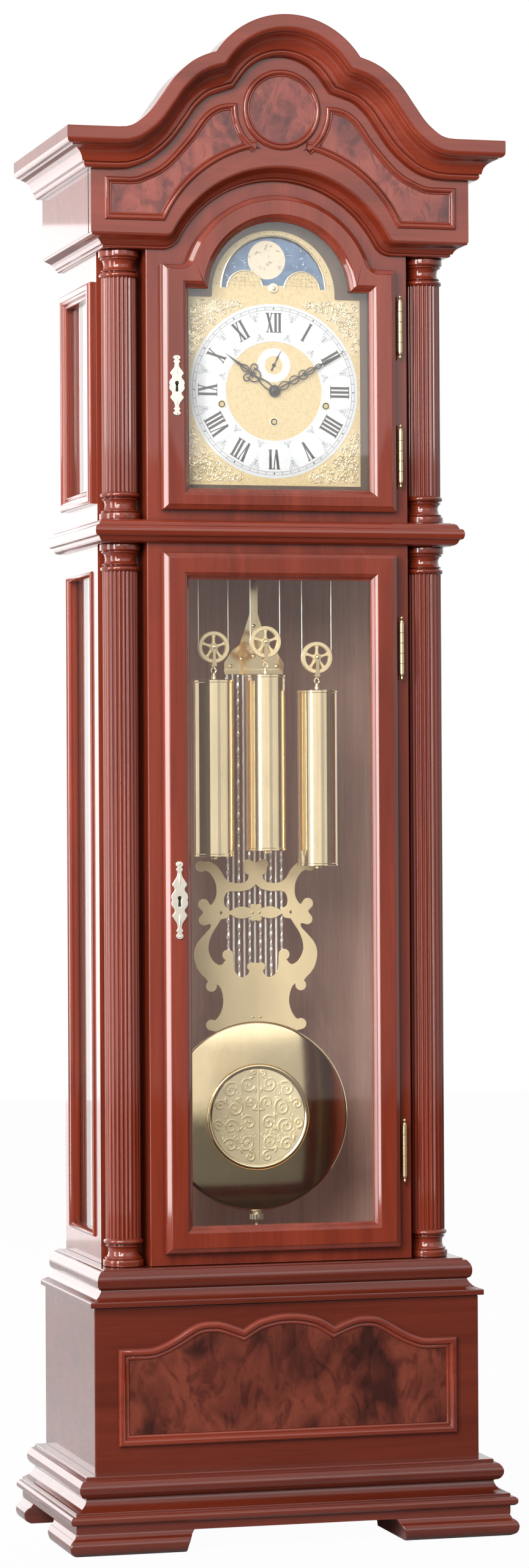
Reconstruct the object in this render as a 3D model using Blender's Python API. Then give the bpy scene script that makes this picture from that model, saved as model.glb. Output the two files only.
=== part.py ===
"""Longcase clock with a broken-arch pediment, fluted columns, three weights and a lyre pendulum.

Metres, +Z up, X to the clock's own right as seen from the front, -Y towards the viewer.
The origin is on the floor, in the middle of the plan. The clock stands at about ten past ten.
"""

import math

import bmesh
import bpy
from mathutils import Matrix, Vector

# Gap kept between pieces that seat on each other
CLEAR = 0.0003

# Plan of the case: half widths, depths measured forward from the flat back, and how far the base
# and the frieze stand out from the case at the sides and in front
BACK = 0.1805
CASE_HALF = 0.243
CASE_DEPTH = 0.285
FACE_HALF = 0.1875
NOTCH_DEPTH = 0.062
SIDE_THICK = 0.016
FACE_THICK = 0.020
BASE_OUT_SIDE = 0.0313
BASE_OUT_FRONT = 0.031
BASE_WALL = 0.018
FRIEZE_OUT_SIDE = 0.0274
FRIEZE_OUT_FRONT = 0.027
FRIEZE_WALL = 0.018
BACK_THICK = 0.006
VENEER_THICK = 0.0015

# Heights of the case, from the floor up
FOOT_HEIGHT = 0.030
BASE_HEIGHT = 0.301
CAP_HEIGHT = 0.0505
TRUNK_HEIGHT = 0.9941
WAIST_HEIGHT = 0.0329
HOOD_HEIGHT = 0.3715
BED_HEIGHT = 0.019
FRIEZE_HEIGHT = 0.138
PEDIMENT_RISE = 0.163

# Feet
FOOT_WIDTH = 0.155
FRONT_FOOT_DEPTH = 0.135
BACK_FOOT_DEPTH = 0.060
FOOT_FLARE = 0.012

# Columns
COLUMN_FROM_FACE = 0.0315
COLUMN_FROM_NOTCH = 0.033
COLUMN_RADIUS = 0.0245
COLUMN_BLOCK_RADIUS = 0.028
COLUMN_NECK_RADIUS = 0.0205
COLUMN_END = 0.041
FLUTES = 16
FLUTE_DEPTH = 0.0026

# Doors
DOOR_HALF = 0.168
DOOR_THICK = 0.018
DOOR_STILE = 0.033
DOOR_GAP_BELOW = 0.0175
DOOR_GAP_ABOVE = 0.0126
TRUNK_RAIL = 0.037
REBATE_WIDTH = 0.006
REBATE_DEPTH = 0.008
GLASS_THICK = 0.003
FRAME_LAP = 0.018

# Arch of the hood, one centre for the door, its opening and the frieze
ARCH_ABOVE_HOOD = 0.3125
DOOR_ARCH_RADIUS = 0.138
FRIEZE_ARCH_RADIUS = 0.177
HOOD_DOOR_SHOULDER = 0.351
HOOD_DOOR_BELOW = 0.013
HOOD_RAIL = 0.030
HOOD_SHOULDER_RAIL = 0.0325
ARCH_STILE = 0.0365

# Hinges
HINGE_FROM_DOOR = 0.0068
HINGE_RADIUS = 0.0034
HINGE_LENGTH = 0.072
HINGE_LEAF = 0.0012

# Side windows
WINDOW_FROM_NOTCH = 0.035
WINDOW_FROM_BACK = 0.031
TRUNK_WINDOW_RAIL = 0.034
SIDE_GLASS_INSET = 0.003
HOOD_FRAME_RAIL = 0.0255
HOOD_FRAME_TOP = 0.038
HOOD_FRAME_WIDTH = 0.020
HOOD_FRAME_PROUD = 0.011
HOOD_FRAME_FROM_NOTCH = 0.008
HOOD_FRAME_FROM_BACK = 0.029

# Dial and movement
DIAL_ABOVE_HOOD = 0.182
DIAL_HALF = 0.125
DIAL_BELOW = 0.1315
DIAL_SHOULDER = 0.129
DIAL_ARCH_RADIUS = 0.0885
DIAL_ARCH_CENTRE = 0.135
DIAL_LAP = 0.008
DIAL_THICK = 0.002
SECONDS_ABOVE = 0.036
WINDING_SIDE_X = 0.075
WINDING_SIDE_BELOW = 0.0195
WINDING_MID_BELOW = 0.0429
MOON_ABOVE = 0.1415
MOON_RADIUS = 0.078
HUMP_X = 0.041
HUMP_RADIUS = 0.026
MINUTE_LENGTH = 0.119
HOUR_LENGTH = 0.087
SECONDS_LENGTH = 0.0225
MINUTE_ANGLE = 60.7
HOUR_ANGLE = 306.0
SECONDS_ANGLE = 26.0
SEAT_BELOW_DIAL = 0.085
SEAT_THICK = 0.018
SEAT_DEPTH = 0.100
PLATE_HALF = 0.113
PLATE_TOP = 0.105
PLATE_THICK = 0.003
PLATES_GAP = 0.054
ESCAPE_RADIUS = 0.0155
ESCAPE_TEETH = 20
PIVOT_ABOVE_SECONDS = 0.0235

# Weights, pulleys, cables and drums
WEIGHT_FROM_FACE = 0.074
WEIGHT_RADIUS = 0.029
WEIGHT_LENGTH = 0.247
WEIGHT_DROPS = (0.3350, 0.3039, 0.3490)
PULLEY_ABOVE_WEIGHT = 0.046
PULLEY_RADIUS = 0.0223
GROOVE_RADIUS = 0.0203
PULLEY_THICK = 0.0076
PULLEY_SPOKES = 5
AXLE_RADIUS = 0.002
CABLE_RADIUS = 0.0008
DRUM_LENGTH = 0.040
DRUM_FLANGE = 0.0235
ARBOR_RADIUS = 0.003

# Pendulum
PENDULUM_FROM_FACE = 0.137
BOB_ABOVE_TRUNK = 0.1935
BOB_RADIUS = 0.1335
BOB_THICK = 0.018
MEDALLION_RADIUS = 0.073
STRIP_HALF = 0.006
FAN_BELOW_PIVOT = 0.363
FAN_HEIGHT = 0.083
RODS = 11
ROD_SPACING = 0.0078
ROD_RADIUS = 0.0018
TWIST_RADIUS = 0.0025
TWIST_PITCH = 0.0285
GRID_ABOVE_BOB = 0.190
LYRE_THICK = 0.003
NUT_RADIUS = 0.010
NUT_HEIGHT = 0.0125
THREAD_RADIUS = 0.002

# Positions worked out from the sizes above
CASE_FRONT = BACK - CASE_DEPTH
NOTCH_Y = CASE_FRONT + NOTCH_DEPTH
BASE_HALF = CASE_HALF + BASE_OUT_SIDE
BASE_FRONT = CASE_FRONT - BASE_OUT_FRONT
FRIEZE_HALF = CASE_HALF + FRIEZE_OUT_SIDE
FRIEZE_FRONT = CASE_FRONT - FRIEZE_OUT_FRONT
COLUMN_X = FACE_HALF + COLUMN_FROM_FACE
COLUMN_Y = NOTCH_Y - COLUMN_FROM_NOTCH
Z_CAP = FOOT_HEIGHT + BASE_HEIGHT
Z_TRUNK = Z_CAP + CAP_HEIGHT
Z_WAIST = Z_TRUNK + TRUNK_HEIGHT
Z_HOOD = Z_WAIST + WAIST_HEIGHT
Z_BED = Z_HOOD + HOOD_HEIGHT
Z_FRIEZE = Z_BED + BED_HEIGHT
Z_CROWN = Z_FRIEZE + FRIEZE_HEIGHT
Z_CASE_TOP = Z_FRIEZE + FRIEZE_HEIGHT * 0.72
Z_PEAK = Z_CROWN + PEDIMENT_RISE
ARCH_Z = Z_HOOD + ARCH_ABOVE_HOOD
DIAL_Z = Z_HOOD + DIAL_ABOVE_HOOD
SECONDS_Z = DIAL_Z + SECONDS_ABOVE
MOON_Z = DIAL_Z + MOON_ABOVE
PIVOT_Z = SECONDS_Z + PIVOT_ABOVE_SECONDS
SEAT_TOP = DIAL_Z - SEAT_BELOW_DIAL
DOOR_BACK = CASE_FRONT - CLEAR
DOOR_FRONT = DOOR_BACK - DOOR_THICK
HINGE_X = DOOR_HALF + HINGE_FROM_DOOR
HINGE_Y = DOOR_BACK - DOOR_THICK / 2
DIAL_FRONT = CASE_FRONT + FACE_THICK + CLEAR
DIAL_BACK = DIAL_FRONT + DIAL_THICK
WEIGHT_Y = CASE_FRONT + WEIGHT_FROM_FACE
PLATE_FRONT = WEIGHT_Y - PLATES_GAP / 2
PLATE_REAR = WEIGHT_Y + PLATES_GAP / 2
ESCAPE_Y = WEIGHT_Y + 0.0095
PENDULUM_Y = CASE_FRONT + PENDULUM_FROM_FACE
BOB_Z = Z_TRUNK + BOB_ABOVE_TRUNK
CABLE_OFFSET = GROOVE_RADIUS + CLEAR + CABLE_RADIUS
WEIGHT_XS = (-WINDING_SIDE_X, 0.0, WINDING_SIDE_X)
WINDING_ZS = (DIAL_Z - WINDING_SIDE_BELOW, DIAL_Z - WINDING_MID_BELOW, DIAL_Z - WINDING_SIDE_BELOW)
SIDE_NAMES = ("left", "right")

# Colour, roughness and metallic value of each finish
FINISHES = {
    "mahogany": ((0.17, 0.035, 0.018, 1.0), 0.25, 0.0),
    "burl": ((0.24, 0.055, 0.025, 1.0), 0.22, 0.0),
    "dark_wood": ((0.10, 0.045, 0.03, 1.0), 0.6, 0.0),
    "brass": ((0.80, 0.62, 0.30, 1.0), 0.25, 1.0),
    "satin_brass": ((0.74, 0.62, 0.38, 1.0), 0.4, 1.0),
    "dial": ((0.86, 0.80, 0.62, 1.0), 0.45, 0.2),
    "black_steel": ((0.02, 0.018, 0.018, 1.0), 0.35, 0.6),
    "moon_blue": ((0.05, 0.11, 0.20, 1.0), 0.5, 0.0),
    "glass": ((0.92, 0.95, 0.95, 0.25), 0.05, 0.0),
    "steel_cable": ((0.62, 0.58, 0.48, 1.0), 0.4, 1.0),
}


def clear_scene():
    for old in list(bpy.data.objects):
        bpy.data.objects.remove(old, do_unlink=True)


def make_material(name, finish):
    colour, roughness, metallic = FINISHES[finish]
    made = bpy.data.materials.new(name)
    made.use_nodes = True
    shader = made.node_tree.nodes["Principled BSDF"]
    shader.inputs["Base Color"].default_value = colour
    shader.inputs["Roughness"].default_value = roughness
    shader.inputs["Metallic"].default_value = metallic
    shader.inputs["Alpha"].default_value = colour[3]
    return made


def add_object(name, shape, finish="mahogany"):
    """Links a bmesh as a named object with outward faces and its own material."""
    bmesh.ops.remove_doubles(shape, verts=shape.verts, dist=1e-6)
    bmesh.ops.recalc_face_normals(shape, faces=shape.faces)
    mesh = bpy.data.meshes.new(name)
    shape.to_mesh(mesh)
    shape.free()
    mesh.shade_smooth()
    mesh.set_sharp_from_angle(angle=math.radians(35))
    mesh.materials.append(make_material(name, finish))
    obj = bpy.data.objects.new(name, mesh)
    bpy.context.collection.objects.link(obj)
    return obj


def loft(name, rings, finish="mahogany", closed=False):
    """Joins rings of as many points each, and caps the two ends unless the run is closed."""
    shape = bmesh.new()
    rows = [[shape.verts.new(point) for point in ring] for ring in rings]
    count = len(rows[0])
    pairs = list(zip(rows, rows[1:]))
    if closed:
        pairs.append((rows[-1], rows[0]))
    else:
        shape.faces.new(rows[0])
        shape.faces.new(rows[-1])
    for low, high in pairs:
        for i in range(count):
            j = (i + 1) % count
            shape.faces.new((low[i], low[j], high[j], high[i]))
    return add_object(name, shape, finish)


def box(name, low, high, finish="mahogany"):
    corners = ((low[0], low[1]), (high[0], low[1]), (high[0], high[1]), (low[0], high[1]))
    return loft(name, [[(x, y, z) for x, y in corners] for z in (low[2], high[2])], finish)


def prism_z(name, outline, low, high, finish="mahogany"):
    return loft(name, [[(x, y, z) for x, y in outline] for z in (low, high)], finish)


def plate(name, outlines, front, rear, finish="mahogany"):
    """A board standing in the XZ plane; outlines after the first are holes through it."""
    curve = bpy.data.curves.new(name, "CURVE")
    curve.dimensions = "2D"
    curve.fill_mode = "BOTH"
    curve.extrude = (rear - front) / 2
    for outline in outlines:
        spline = curve.splines.new("POLY")
        spline.points.add(len(outline) - 1)
        for point, (x, z) in zip(spline.points, outline):
            point.co = (x, z, 0.0, 1.0)
        spline.use_cyclic_u = True
    guide = bpy.data.objects.new(name, curve)
    shape = bmesh.new()
    shape.from_mesh(guide.to_mesh())
    turn = Matrix.Translation((0, (front + rear) / 2, 0)) @ Matrix.Rotation(math.pi / 2, 4, "X")
    shape.transform(turn)
    bpy.data.objects.remove(guide)
    bpy.data.curves.remove(curve)
    return add_object(name, shape, finish)


def circle(centre, radius, count, start=0.0, stop=360.0):
    """Points of an arc, in degrees anticlockwise; a full turn doesn't repeat its first point."""
    full = abs(stop - start) >= 360
    steps = count if full else max(count - 1, 1)
    angles = [math.radians(start + (stop - start) * i / steps) for i in range(count)]
    return [(centre[0] + radius * math.cos(a), centre[1] + radius * math.sin(a)) for a in angles]


def turned(name, profile, centre, axis="Z", count=24, finish="brass", phase=0.0):
    """A solid of revolution: profile is (radius, height along the axis) from one end to the other."""
    rings = []
    for radius, height in profile:
        ring = circle((0, 0), radius, count, phase, phase + 360)
        if axis == "Z":
            rings.append([(centre[0] + a, centre[1] + b, height) for a, b in ring])
        else:
            rings.append([(centre[0] + a, height, centre[1] + b) for a, b in ring])
    return loft(name, rings, finish)


def bored(name, profile, centre, axis="Z", count=24, finish="brass", phase=0.0):
    """A turned ring: profile is a closed loop of (radius, height) that stays off the axis."""
    sections = []
    for a, b in circle((0, 0), 1.0, count, phase, phase + 360):
        if axis == "Z":
            sections.append([(centre[0] + r * a, centre[1] + r * b, h) for r, h in profile])
        else:
            sections.append([(centre[0] + r * a, h, centre[1] + r * b) for r, h in profile])
    return loft(name, sections, finish, closed=True)


def boolean(obj, other, operation):
    """Joins or cuts obj with a helper, keeps the result as obj's own mesh and removes the helper."""
    modifier = obj.modifiers.new("shape", "BOOLEAN")
    modifier.operation = operation
    modifier.solver = "EXACT"
    modifier.object = other
    graph = bpy.context.evaluated_depsgraph_get()
    mesh = bpy.data.meshes.new_from_object(obj.evaluated_get(graph))
    obj.modifiers.clear()
    obj.data = mesh
    while len(mesh.materials) > 1:
        mesh.materials.pop()
    mesh.polygons.foreach_set("material_index", [0] * len(mesh.polygons))
    bpy.data.objects.remove(other, do_unlink=True)
    return obj


def join(obj, *others):
    for other in others:
        boolean(obj, other, "UNION")
    return obj


def cut(obj, *others):
    for other in others:
        boolean(obj, other, "DIFFERENCE")
    return obj


def hang_on(pivot_name, point, *objects):
    """Gives moving pieces an empty on their joint's axis as parent and origin."""
    pivot = bpy.data.objects.new(pivot_name, None)
    pivot.empty_display_size = 0.02
    pivot.location = point
    bpy.context.collection.objects.link(pivot)
    for obj in objects:
        obj.data.transform(Matrix.Translation(-Vector(point)))
        obj.parent = pivot
    return pivot


def mirrored(points):
    """A right half outline, bottom to top, followed by its mirror image, top to bottom."""
    left = [(-x, z) for x, z in reversed(points) if abs(x) > 1e-9]
    return list(points) + left


def smooth(points, steps):
    """Points on a Catmull-Rom curve through the given points, ends included."""
    padded = [points[0]] + list(points) + [points[-1]]
    found = []
    for p0, p1, p2, p3 in zip(padded, padded[1:], padded[2:], padded[3:]):
        for i in range(steps):
            t = i / steps
            found.append(tuple(
                0.5 * (2 * b + (c - a) * t + (2 * a - 5 * b + 4 * c - d) * t * t
                       + (3 * b - a - 3 * c + d) * t ** 3)
                for a, b, c, d in zip(p0, p1, p2, p3)))
    return found + [points[-1]]


def mitres(path, closed):
    """Left-hand normals of a path, lengthened at its corners so that an offset keeps its width."""
    count = len(path)
    sides = []
    for i in range(count if closed else count - 1):
        a, b = Vector(path[i]), Vector(path[(i + 1) % count])
        along = (b - a).normalized()
        sides.append(Vector((-along.y, along.x)))
    found = []
    for i in range(count):
        if closed:
            before, after = sides[i - 1], sides[i]
        else:
            before, after = sides[max(i - 1, 0)], sides[min(i, count - 2)]
        middle = (before + after).normalized()
        found.append(middle / max(middle.dot(after), 0.35))
    return found


def arched(half, low, shoulder, radius, centre, fillet, count):
    """Closed break-arch outline: a rectangle with a round arch rising from its shoulders."""
    fillet_z = shoulder + fillet
    fillet_x = math.sqrt((radius + fillet) ** 2 - (fillet_z - centre) ** 2)
    lean = math.degrees(math.atan2(fillet_z - centre, fillet_x))
    right = [(half, low), (half, shoulder)]
    right += circle((fillet_x, fillet_z), fillet, 3, -90, -180 + lean)
    right += circle((0, centre), radius, count, lean, 90)[1:]
    return mirrored(right)


def rectangle(half, low, high):
    return [(-half, low), (half, low), (half, high), (-half, high)]


def moulding_on_case(name, profile, half, front, finish="mahogany"):
    """A moulding mitred round the front and both sides; profile is a loop of (projection, height)."""
    left_back = [(-half - out, BACK, z) for out, z in profile]
    left_front = [(-half - out, front - out, z) for out, z in profile]
    right_front = [(half + out, front - out, z) for out, z in profile]
    right_back = [(half + out, BACK, z) for out, z in profile]
    return loft(name, [left_back, left_front, right_front, right_back], finish)


def moulded_board(name, levels, half, front):
    """A board with a moulded front and sides; levels are (projection, height) upwards."""
    rings = []
    for out, z in levels:
        rings.append([(-half - out, front - out, z), (half + out, front - out, z),
                      (half + out, BACK, z), (-half - out, BACK, z)])
    return loft(name, rings)


def moulding_on_front(name, path, profile, face, closed=True, finish="mahogany"):
    """A moulding along a path in the XZ plane; profile is (offset to the left, projection)."""
    sections = []
    for (x, z), normal in zip(path, mitres(path, closed)):
        sections.append([(x + normal.x * a, face - b, z + normal.y * a) for a, b in profile])
    return loft(name, sections, finish, closed)


# Base

def build_feet():
    levels = ((0.0356, 0.0), (0.0436, 0.007), (0.0448, 0.0125), (0.0425, 0.020), (0.036, 0.0265),
              (0.034, FOOT_HEIGHT - CLEAR))
    for side, sign in zip(SIDE_NAMES, (-1, 1)):
        for end in ("front", "back"):
            rings = []
            for out, z in levels:
                flare = FOOT_FLARE * (z / FOOT_HEIGHT) ** 2
                outer = sign * (BASE_HALF + out)
                inner = sign * (BASE_HALF + levels[0][0] - FOOT_WIDTH - flare)
                if end == "front":
                    near = BASE_FRONT - out
                    far = BASE_FRONT - levels[0][0] + FRONT_FOOT_DEPTH + flare
                else:
                    near = BACK - BACK_FOOT_DEPTH - flare
                    far = BACK
                rings.append([(outer, near, z), (inner, near, z), (inner, far, z), (outer, far, z)])
            loft(f"foot_{end}_{side}", rings)


def build_base():
    low, high = FOOT_HEIGHT, Z_CAP - CLEAR
    carcass = box("base_carcass", (-BASE_HALF, BASE_FRONT, low), (BASE_HALF, BACK, high))
    hollow = box("hollow", (-BASE_HALF + BASE_WALL, BASE_FRONT + BASE_WALL, low + BASE_WALL),
                 (BASE_HALF - BASE_WALL, BACK - BASE_WALL, high + BASE_WALL))
    cut(carcass, hollow)

    plinth = [(CLEAR, 0.0), (0.0342, 0.0), (0.0342, 0.012), (0.041, 0.0135), (0.043, 0.018), (0.041, 0.0225),
              (0.0342, 0.024), (0.0342, 0.028), (0.024, 0.033), (0.0165, 0.041), (0.0159, 0.0446),
              (0.0235, 0.0475), (0.0275, 0.0575), (0.0235, 0.067), (0.0159, 0.070), (0.0159, 0.074),
              (CLEAR, 0.074)]
    profile = [(out, FOOT_HEIGHT + z) for out, z in plinth]
    moulding_on_case("plinth_moulding", profile, BASE_HALF, BASE_FRONT)

    cap = ((0.0063, 0.0), (0.0063, 0.0078), (-0.002, 0.010), (-0.0085, 0.0155), (-0.0123, 0.021),
           (-0.0123, 0.0225), (-0.0085, 0.0245), (-0.0063, 0.0335), (-0.0085, 0.0425), (-0.0123, 0.0475),
           (-0.0173, 0.0485), (-0.0173, CAP_HEIGHT - CLEAR))
    moulded_board("base_cap", [(out, Z_CAP + z) for out, z in cap], BASE_HALF, BASE_FRONT)
    build_base_panel()


def build_base_panel():
    """Raised moulding round the base panel, its top edge scalloped in five sweeps."""
    side, below, above = 0.0327, 0.035, 0.057
    low, flat = Z_CAP - BASE_HEIGHT + 0.076 + below, Z_CAP - above
    half = BASE_HALF - side
    hump, notch, apex = flat + 0.034, flat + 0.0217, flat + 0.0413
    right = [(half, low), (half, flat), (0.205, flat)]
    right += smooth([(0.190, flat + 0.0015), (0.160, flat + 0.015), (0.135, flat + 0.0295),
                     (0.1117, hump)], 2)
    right += smooth([(0.088, hump - 0.0035), (0.065, notch)], 2)
    right += smooth([(0.045, notch + 0.0115), (0.022, apex - 0.002), (0.0, apex)], 3)
    width = 0.0153
    profile = ((0.0, CLEAR), (0.0, 0.003), (0.003, 0.0075), (0.008, 0.0075), (0.0115, 0.0032),
               (width, 0.0026), (width, CLEAR))
    path = mirrored(right)
    moulding_on_front("base_panel_moulding", path, profile, BASE_FRONT)
    inset = width + CLEAR
    inner = [(x + n.x * inset, z + n.y * inset) for (x, z), n in zip(path, mitres(path, True))]
    plate("base_panel", [inner], BASE_FRONT - CLEAR - VENEER_THICK, BASE_FRONT - CLEAR, "burl")


# Trunk and hood carcass

def build_face_frame():
    low, high = Z_TRUNK, Z_CASE_TOP
    outline = rectangle(FACE_HALF, low, high)
    half = DOOR_HALF - FRAME_LAP
    trunk = rectangle(half, low + DOOR_GAP_BELOW + FRAME_LAP, Z_WAIST - DOOR_GAP_ABOVE - FRAME_LAP)
    plate("face_frame", [outline, trunk, dial_outline(0.0005)], CASE_FRONT, CASE_FRONT + FACE_THICK)


def dial_outline(margin):
    centre = DIAL_Z + DIAL_ARCH_CENTRE
    return arched(DIAL_HALF + margin, DIAL_Z - DIAL_BELOW - margin, DIAL_Z + DIAL_SHOULDER + margin,
                  DIAL_ARCH_RADIUS + margin, centre, 0.003, 8)


def build_sides():
    """Each side is one glued-up post and panel that steps in round the column."""
    inner = CASE_FRONT + FACE_THICK + CLEAR
    low, high = Z_TRUNK, Z_CASE_TOP
    window = (NOTCH_Y + WINDOW_FROM_NOTCH, BACK - WINDOW_FROM_BACK)
    trunk_z = (Z_TRUNK + TRUNK_WINDOW_RAIL, Z_WAIST - TRUNK_WINDOW_RAIL)
    frame_y = (NOTCH_Y + HOOD_FRAME_FROM_NOTCH, BACK - HOOD_FRAME_FROM_BACK)
    frame_z = (Z_HOOD + HOOD_FRAME_RAIL, Z_BED - HOOD_FRAME_TOP)
    lap = HOOD_FRAME_WIDTH
    for side, sign in zip(SIDE_NAMES, (-1, 1)):
        plan = [(CASE_HALF, BACK), (CASE_HALF, NOTCH_Y), (FACE_HALF, NOTCH_Y), (FACE_HALF, inner),
                (FACE_HALF - SIDE_THICK, inner), (FACE_HALF - SIDE_THICK, NOTCH_Y + SIDE_THICK),
                (CASE_HALF - SIDE_THICK, NOTCH_Y + SIDE_THICK), (CASE_HALF - SIDE_THICK, BACK)]
        panel = prism_z(f"case_side_{side}", [(sign * x, y) for x, y in plan], low, high)
        wall = sorted((sign * CASE_HALF, sign * (CASE_HALF - SIDE_THICK)))
        reach = (wall[0] - SIDE_THICK / 2, wall[1] + SIDE_THICK / 2)
        cut(panel,
            box("cutter", (reach[0], window[0], trunk_z[0]), (reach[1], window[1], trunk_z[1])),
            box("cutter", (reach[0], frame_y[0] + lap, frame_z[0] + lap),
                (reach[1], frame_y[1] - lap, frame_z[1] - lap)))

        pane_x = CASE_HALF - SIDE_THICK + SIDE_GLASS_INSET
        pane = sorted((sign * pane_x, sign * (pane_x + GLASS_THICK)))
        box(f"trunk_side_glass_{side}", (pane[0], window[0] + CLEAR, trunk_z[0] + CLEAR),
            (pane[1], window[1] - CLEAR, trunk_z[1] - CLEAR), "glass")
        build_hood_window(side, sign, frame_y, frame_z)


def build_hood_window(side, sign, frame_y, frame_z):
    """A moulded frame planted on the hood's side, with a pane in it."""
    (near, far), (low, high) = frame_y, frame_z
    path = [(near, low), (far, low), (far, high), (near, high)]
    profile = ((0.0, CLEAR), (0.0, 0.007), (0.003, HOOD_FRAME_PROUD), (0.010, HOOD_FRAME_PROUD),
               (0.014, 0.0065), (HOOD_FRAME_WIDTH, 0.005), (HOOD_FRAME_WIDTH, CLEAR))
    sections = []
    for (y, z), normal in zip(path, mitres(path, True)):
        sections.append([(sign * (CASE_HALF + b), y + normal.x * a, z + normal.y * a) for a, b in profile])
    loft(f"hood_window_frame_{side}", sections, "mahogany", True)
    pane_x = CASE_HALF - GLASS_THICK * 2
    pane = sorted((sign * pane_x, sign * (pane_x + GLASS_THICK)))
    inset = HOOD_FRAME_WIDTH + CLEAR
    box(f"hood_side_glass_{side}", (pane[0], near + inset, low + inset),
        (pane[1], far - inset, high - inset), "glass")


def build_back():
    half = CASE_HALF - SIDE_THICK - CLEAR
    high = Z_CROWN - FRIEZE_WALL - CLEAR
    box("back_panel", (-half, BACK - BACK_THICK, Z_TRUNK), (half, BACK, high), "dark_wood")


def corner_blocks(low, high, half, front):
    """Helpers that fill a moulding's corners in over the column notches."""
    blocks = []
    for sign in (-1, 1):
        xs = sorted((sign * (FACE_HALF + CLEAR), sign * half))
        blocks.append(box("block", (xs[0], front, low), (xs[1], NOTCH_Y - CLEAR, high)))
    return blocks


def build_waist():
    low, high = Z_WAIST, Z_HOOD - CLEAR
    tall = high - low
    profile = [(CLEAR, low), (0.006, low), (0.012, low + 0.003), (0.0165, low + 0.009), (0.021, low + 0.0115),
               (0.0217, low + tall / 2), (0.021, low + tall - 0.0115), (0.0165, low + tall - 0.009),
               (0.012, high - 0.003), (0.006, high), (CLEAR, high)]
    waist = moulding_on_case("waist_moulding", profile, CASE_HALF, CASE_FRONT)
    join(waist, *corner_blocks(low + CLEAR, high - CLEAR, CASE_HALF + 0.005, CASE_FRONT - 0.005))


def build_columns():
    stacks = {"trunk": (Z_TRUNK, Z_WAIST - CLEAR), "hood": (Z_HOOD, Z_BED - CLEAR)}
    block, neck = COLUMN_BLOCK_RADIUS, COLUMN_NECK_RADIUS
    end = ((block, 0.0), (block, 0.0095), (neck + 0.0015, 0.0125), (neck, 0.021), (neck + 0.0015, 0.0295),
           (block - 0.001, 0.032), (block - 0.001, 0.0365), (neck, 0.0395))
    for stack, (low, high) in stacks.items():
        for side, sign in zip(SIDE_NAMES, (-1, 1)):
            centre = (sign * COLUMN_X, COLUMN_Y)
            rings = []
            for z in (low + COLUMN_END - 0.006, high - COLUMN_END + 0.006):
                rings.append([(x, y, z) for x, y in fluted(centre)])
            column = loft(f"{stack}_column_{side}", rings)
            foot = turned("foot", [(r, low + z) for r, z in end], centre, "Z", 14, phase=3.1)
            head = turned("head", [(r, high - z) for r, z in reversed(end)], centre, "Z", 14, phase=3.1)
            join(column, foot, head)


def fluted(centre):
    """Section of a fluted shaft: two points on each fillet, one at the bottom of each flute."""
    ring = []
    for i, (a, b) in enumerate(circle((0, 0), 1.0, FLUTES * 3)):
        radius = COLUMN_RADIUS - (FLUTE_DEPTH if i % 3 == 2 else 0.0)
        ring.append((centre[0] + radius * a, centre[1] + radius * b))
    return ring


# Pediment

def crown_path():
    """Top line of the pediment from the left corner to the right: ogee, notch, round centre."""
    notch_x, notch_z = 0.1025, Z_PEAK - 0.055
    centre_z = Z_PEAK - 0.123
    lean = math.degrees(math.asin((notch_z - centre_z) / math.hypot(notch_x, notch_z - centre_z)))
    right = [(FRIEZE_HALF, Z_CROWN), (0.238, Z_CROWN)]
    right += smooth([(0.2166, Z_CROWN + 0.0055), (0.1975, Z_CROWN + 0.0215), (0.1800, Z_CROWN + 0.045),
                     (0.1620, Z_CROWN + 0.0700), (0.1400, Z_CROWN + 0.0905), (notch_x, notch_z)], 2)
    right += circle((0, centre_z), math.hypot(notch_x, notch_z - centre_z), 7, lean, 90)[1:]
    outline = mirrored(right)
    return outline[::-1]


def frieze_line(fillet, count):
    """Lower edge of the frieze from left to right: two flats and the arch over the hood door."""
    loop = arched(FRIEZE_HALF, Z_BED, Z_FRIEZE, FRIEZE_ARCH_RADIUS, ARCH_Z, fillet, count)
    return loop[-2:0:-1]


def build_pediment():
    path = crown_path()
    outline = frieze_line(0.010, 10) + path[::-1]
    board_rear = FRIEZE_FRONT + FRIEZE_WALL
    pediment = plate("pediment_box", [outline], FRIEZE_FRONT, board_rear)

    roof_low = Z_CROWN - FRIEZE_WALL
    for sign in (-1, 1):
        xs = sorted((sign * FRIEZE_HALF, sign * (FRIEZE_HALF - FRIEZE_WALL)))
        join(pediment, box("side", (xs[0], board_rear - 0.004, Z_FRIEZE), (xs[1], BACK, Z_CROWN)))
    roof_half = FRIEZE_HALF - FRIEZE_WALL / 2
    join(pediment, box("roof", (-roof_half, board_rear - 0.004, roof_low),
                       (roof_half, BACK - 0.001, Z_CROWN - 0.003)))
    join(pediment, build_bed_moulding())

    drop = ((0.0, CLEAR), (0.0, 0.0415), (0.0176, 0.0415), (0.0235, 0.0375), (0.025, 0.0314),
            (0.0305, 0.0225), (0.039, 0.0160), (0.0445, 0.0146), (0.046, 0.0110), (0.0525, 0.0085),
            (0.0525, CLEAR))
    sections = []
    for (x, z), normal in zip(path, mitres(path, False)):
        sections.append([(x - normal.x * a, FRIEZE_FRONT - b, z - normal.y * a) for a, b in drop])
    left = [(-FRIEZE_HALF - b, FRIEZE_FRONT - b, Z_CROWN - a) for a, b in drop]
    right = [(FRIEZE_HALF + b, FRIEZE_FRONT - b, Z_CROWN - a) for a, b in drop]
    left_back = [(-FRIEZE_HALF - b, BACK, Z_CROWN - a) for a, b in drop]
    right_back = [(FRIEZE_HALF + b, BACK, Z_CROWN - a) for a, b in drop]
    loft("crown_moulding", [left_back, left] + sections[1:-1] + [right, right_back])


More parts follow.
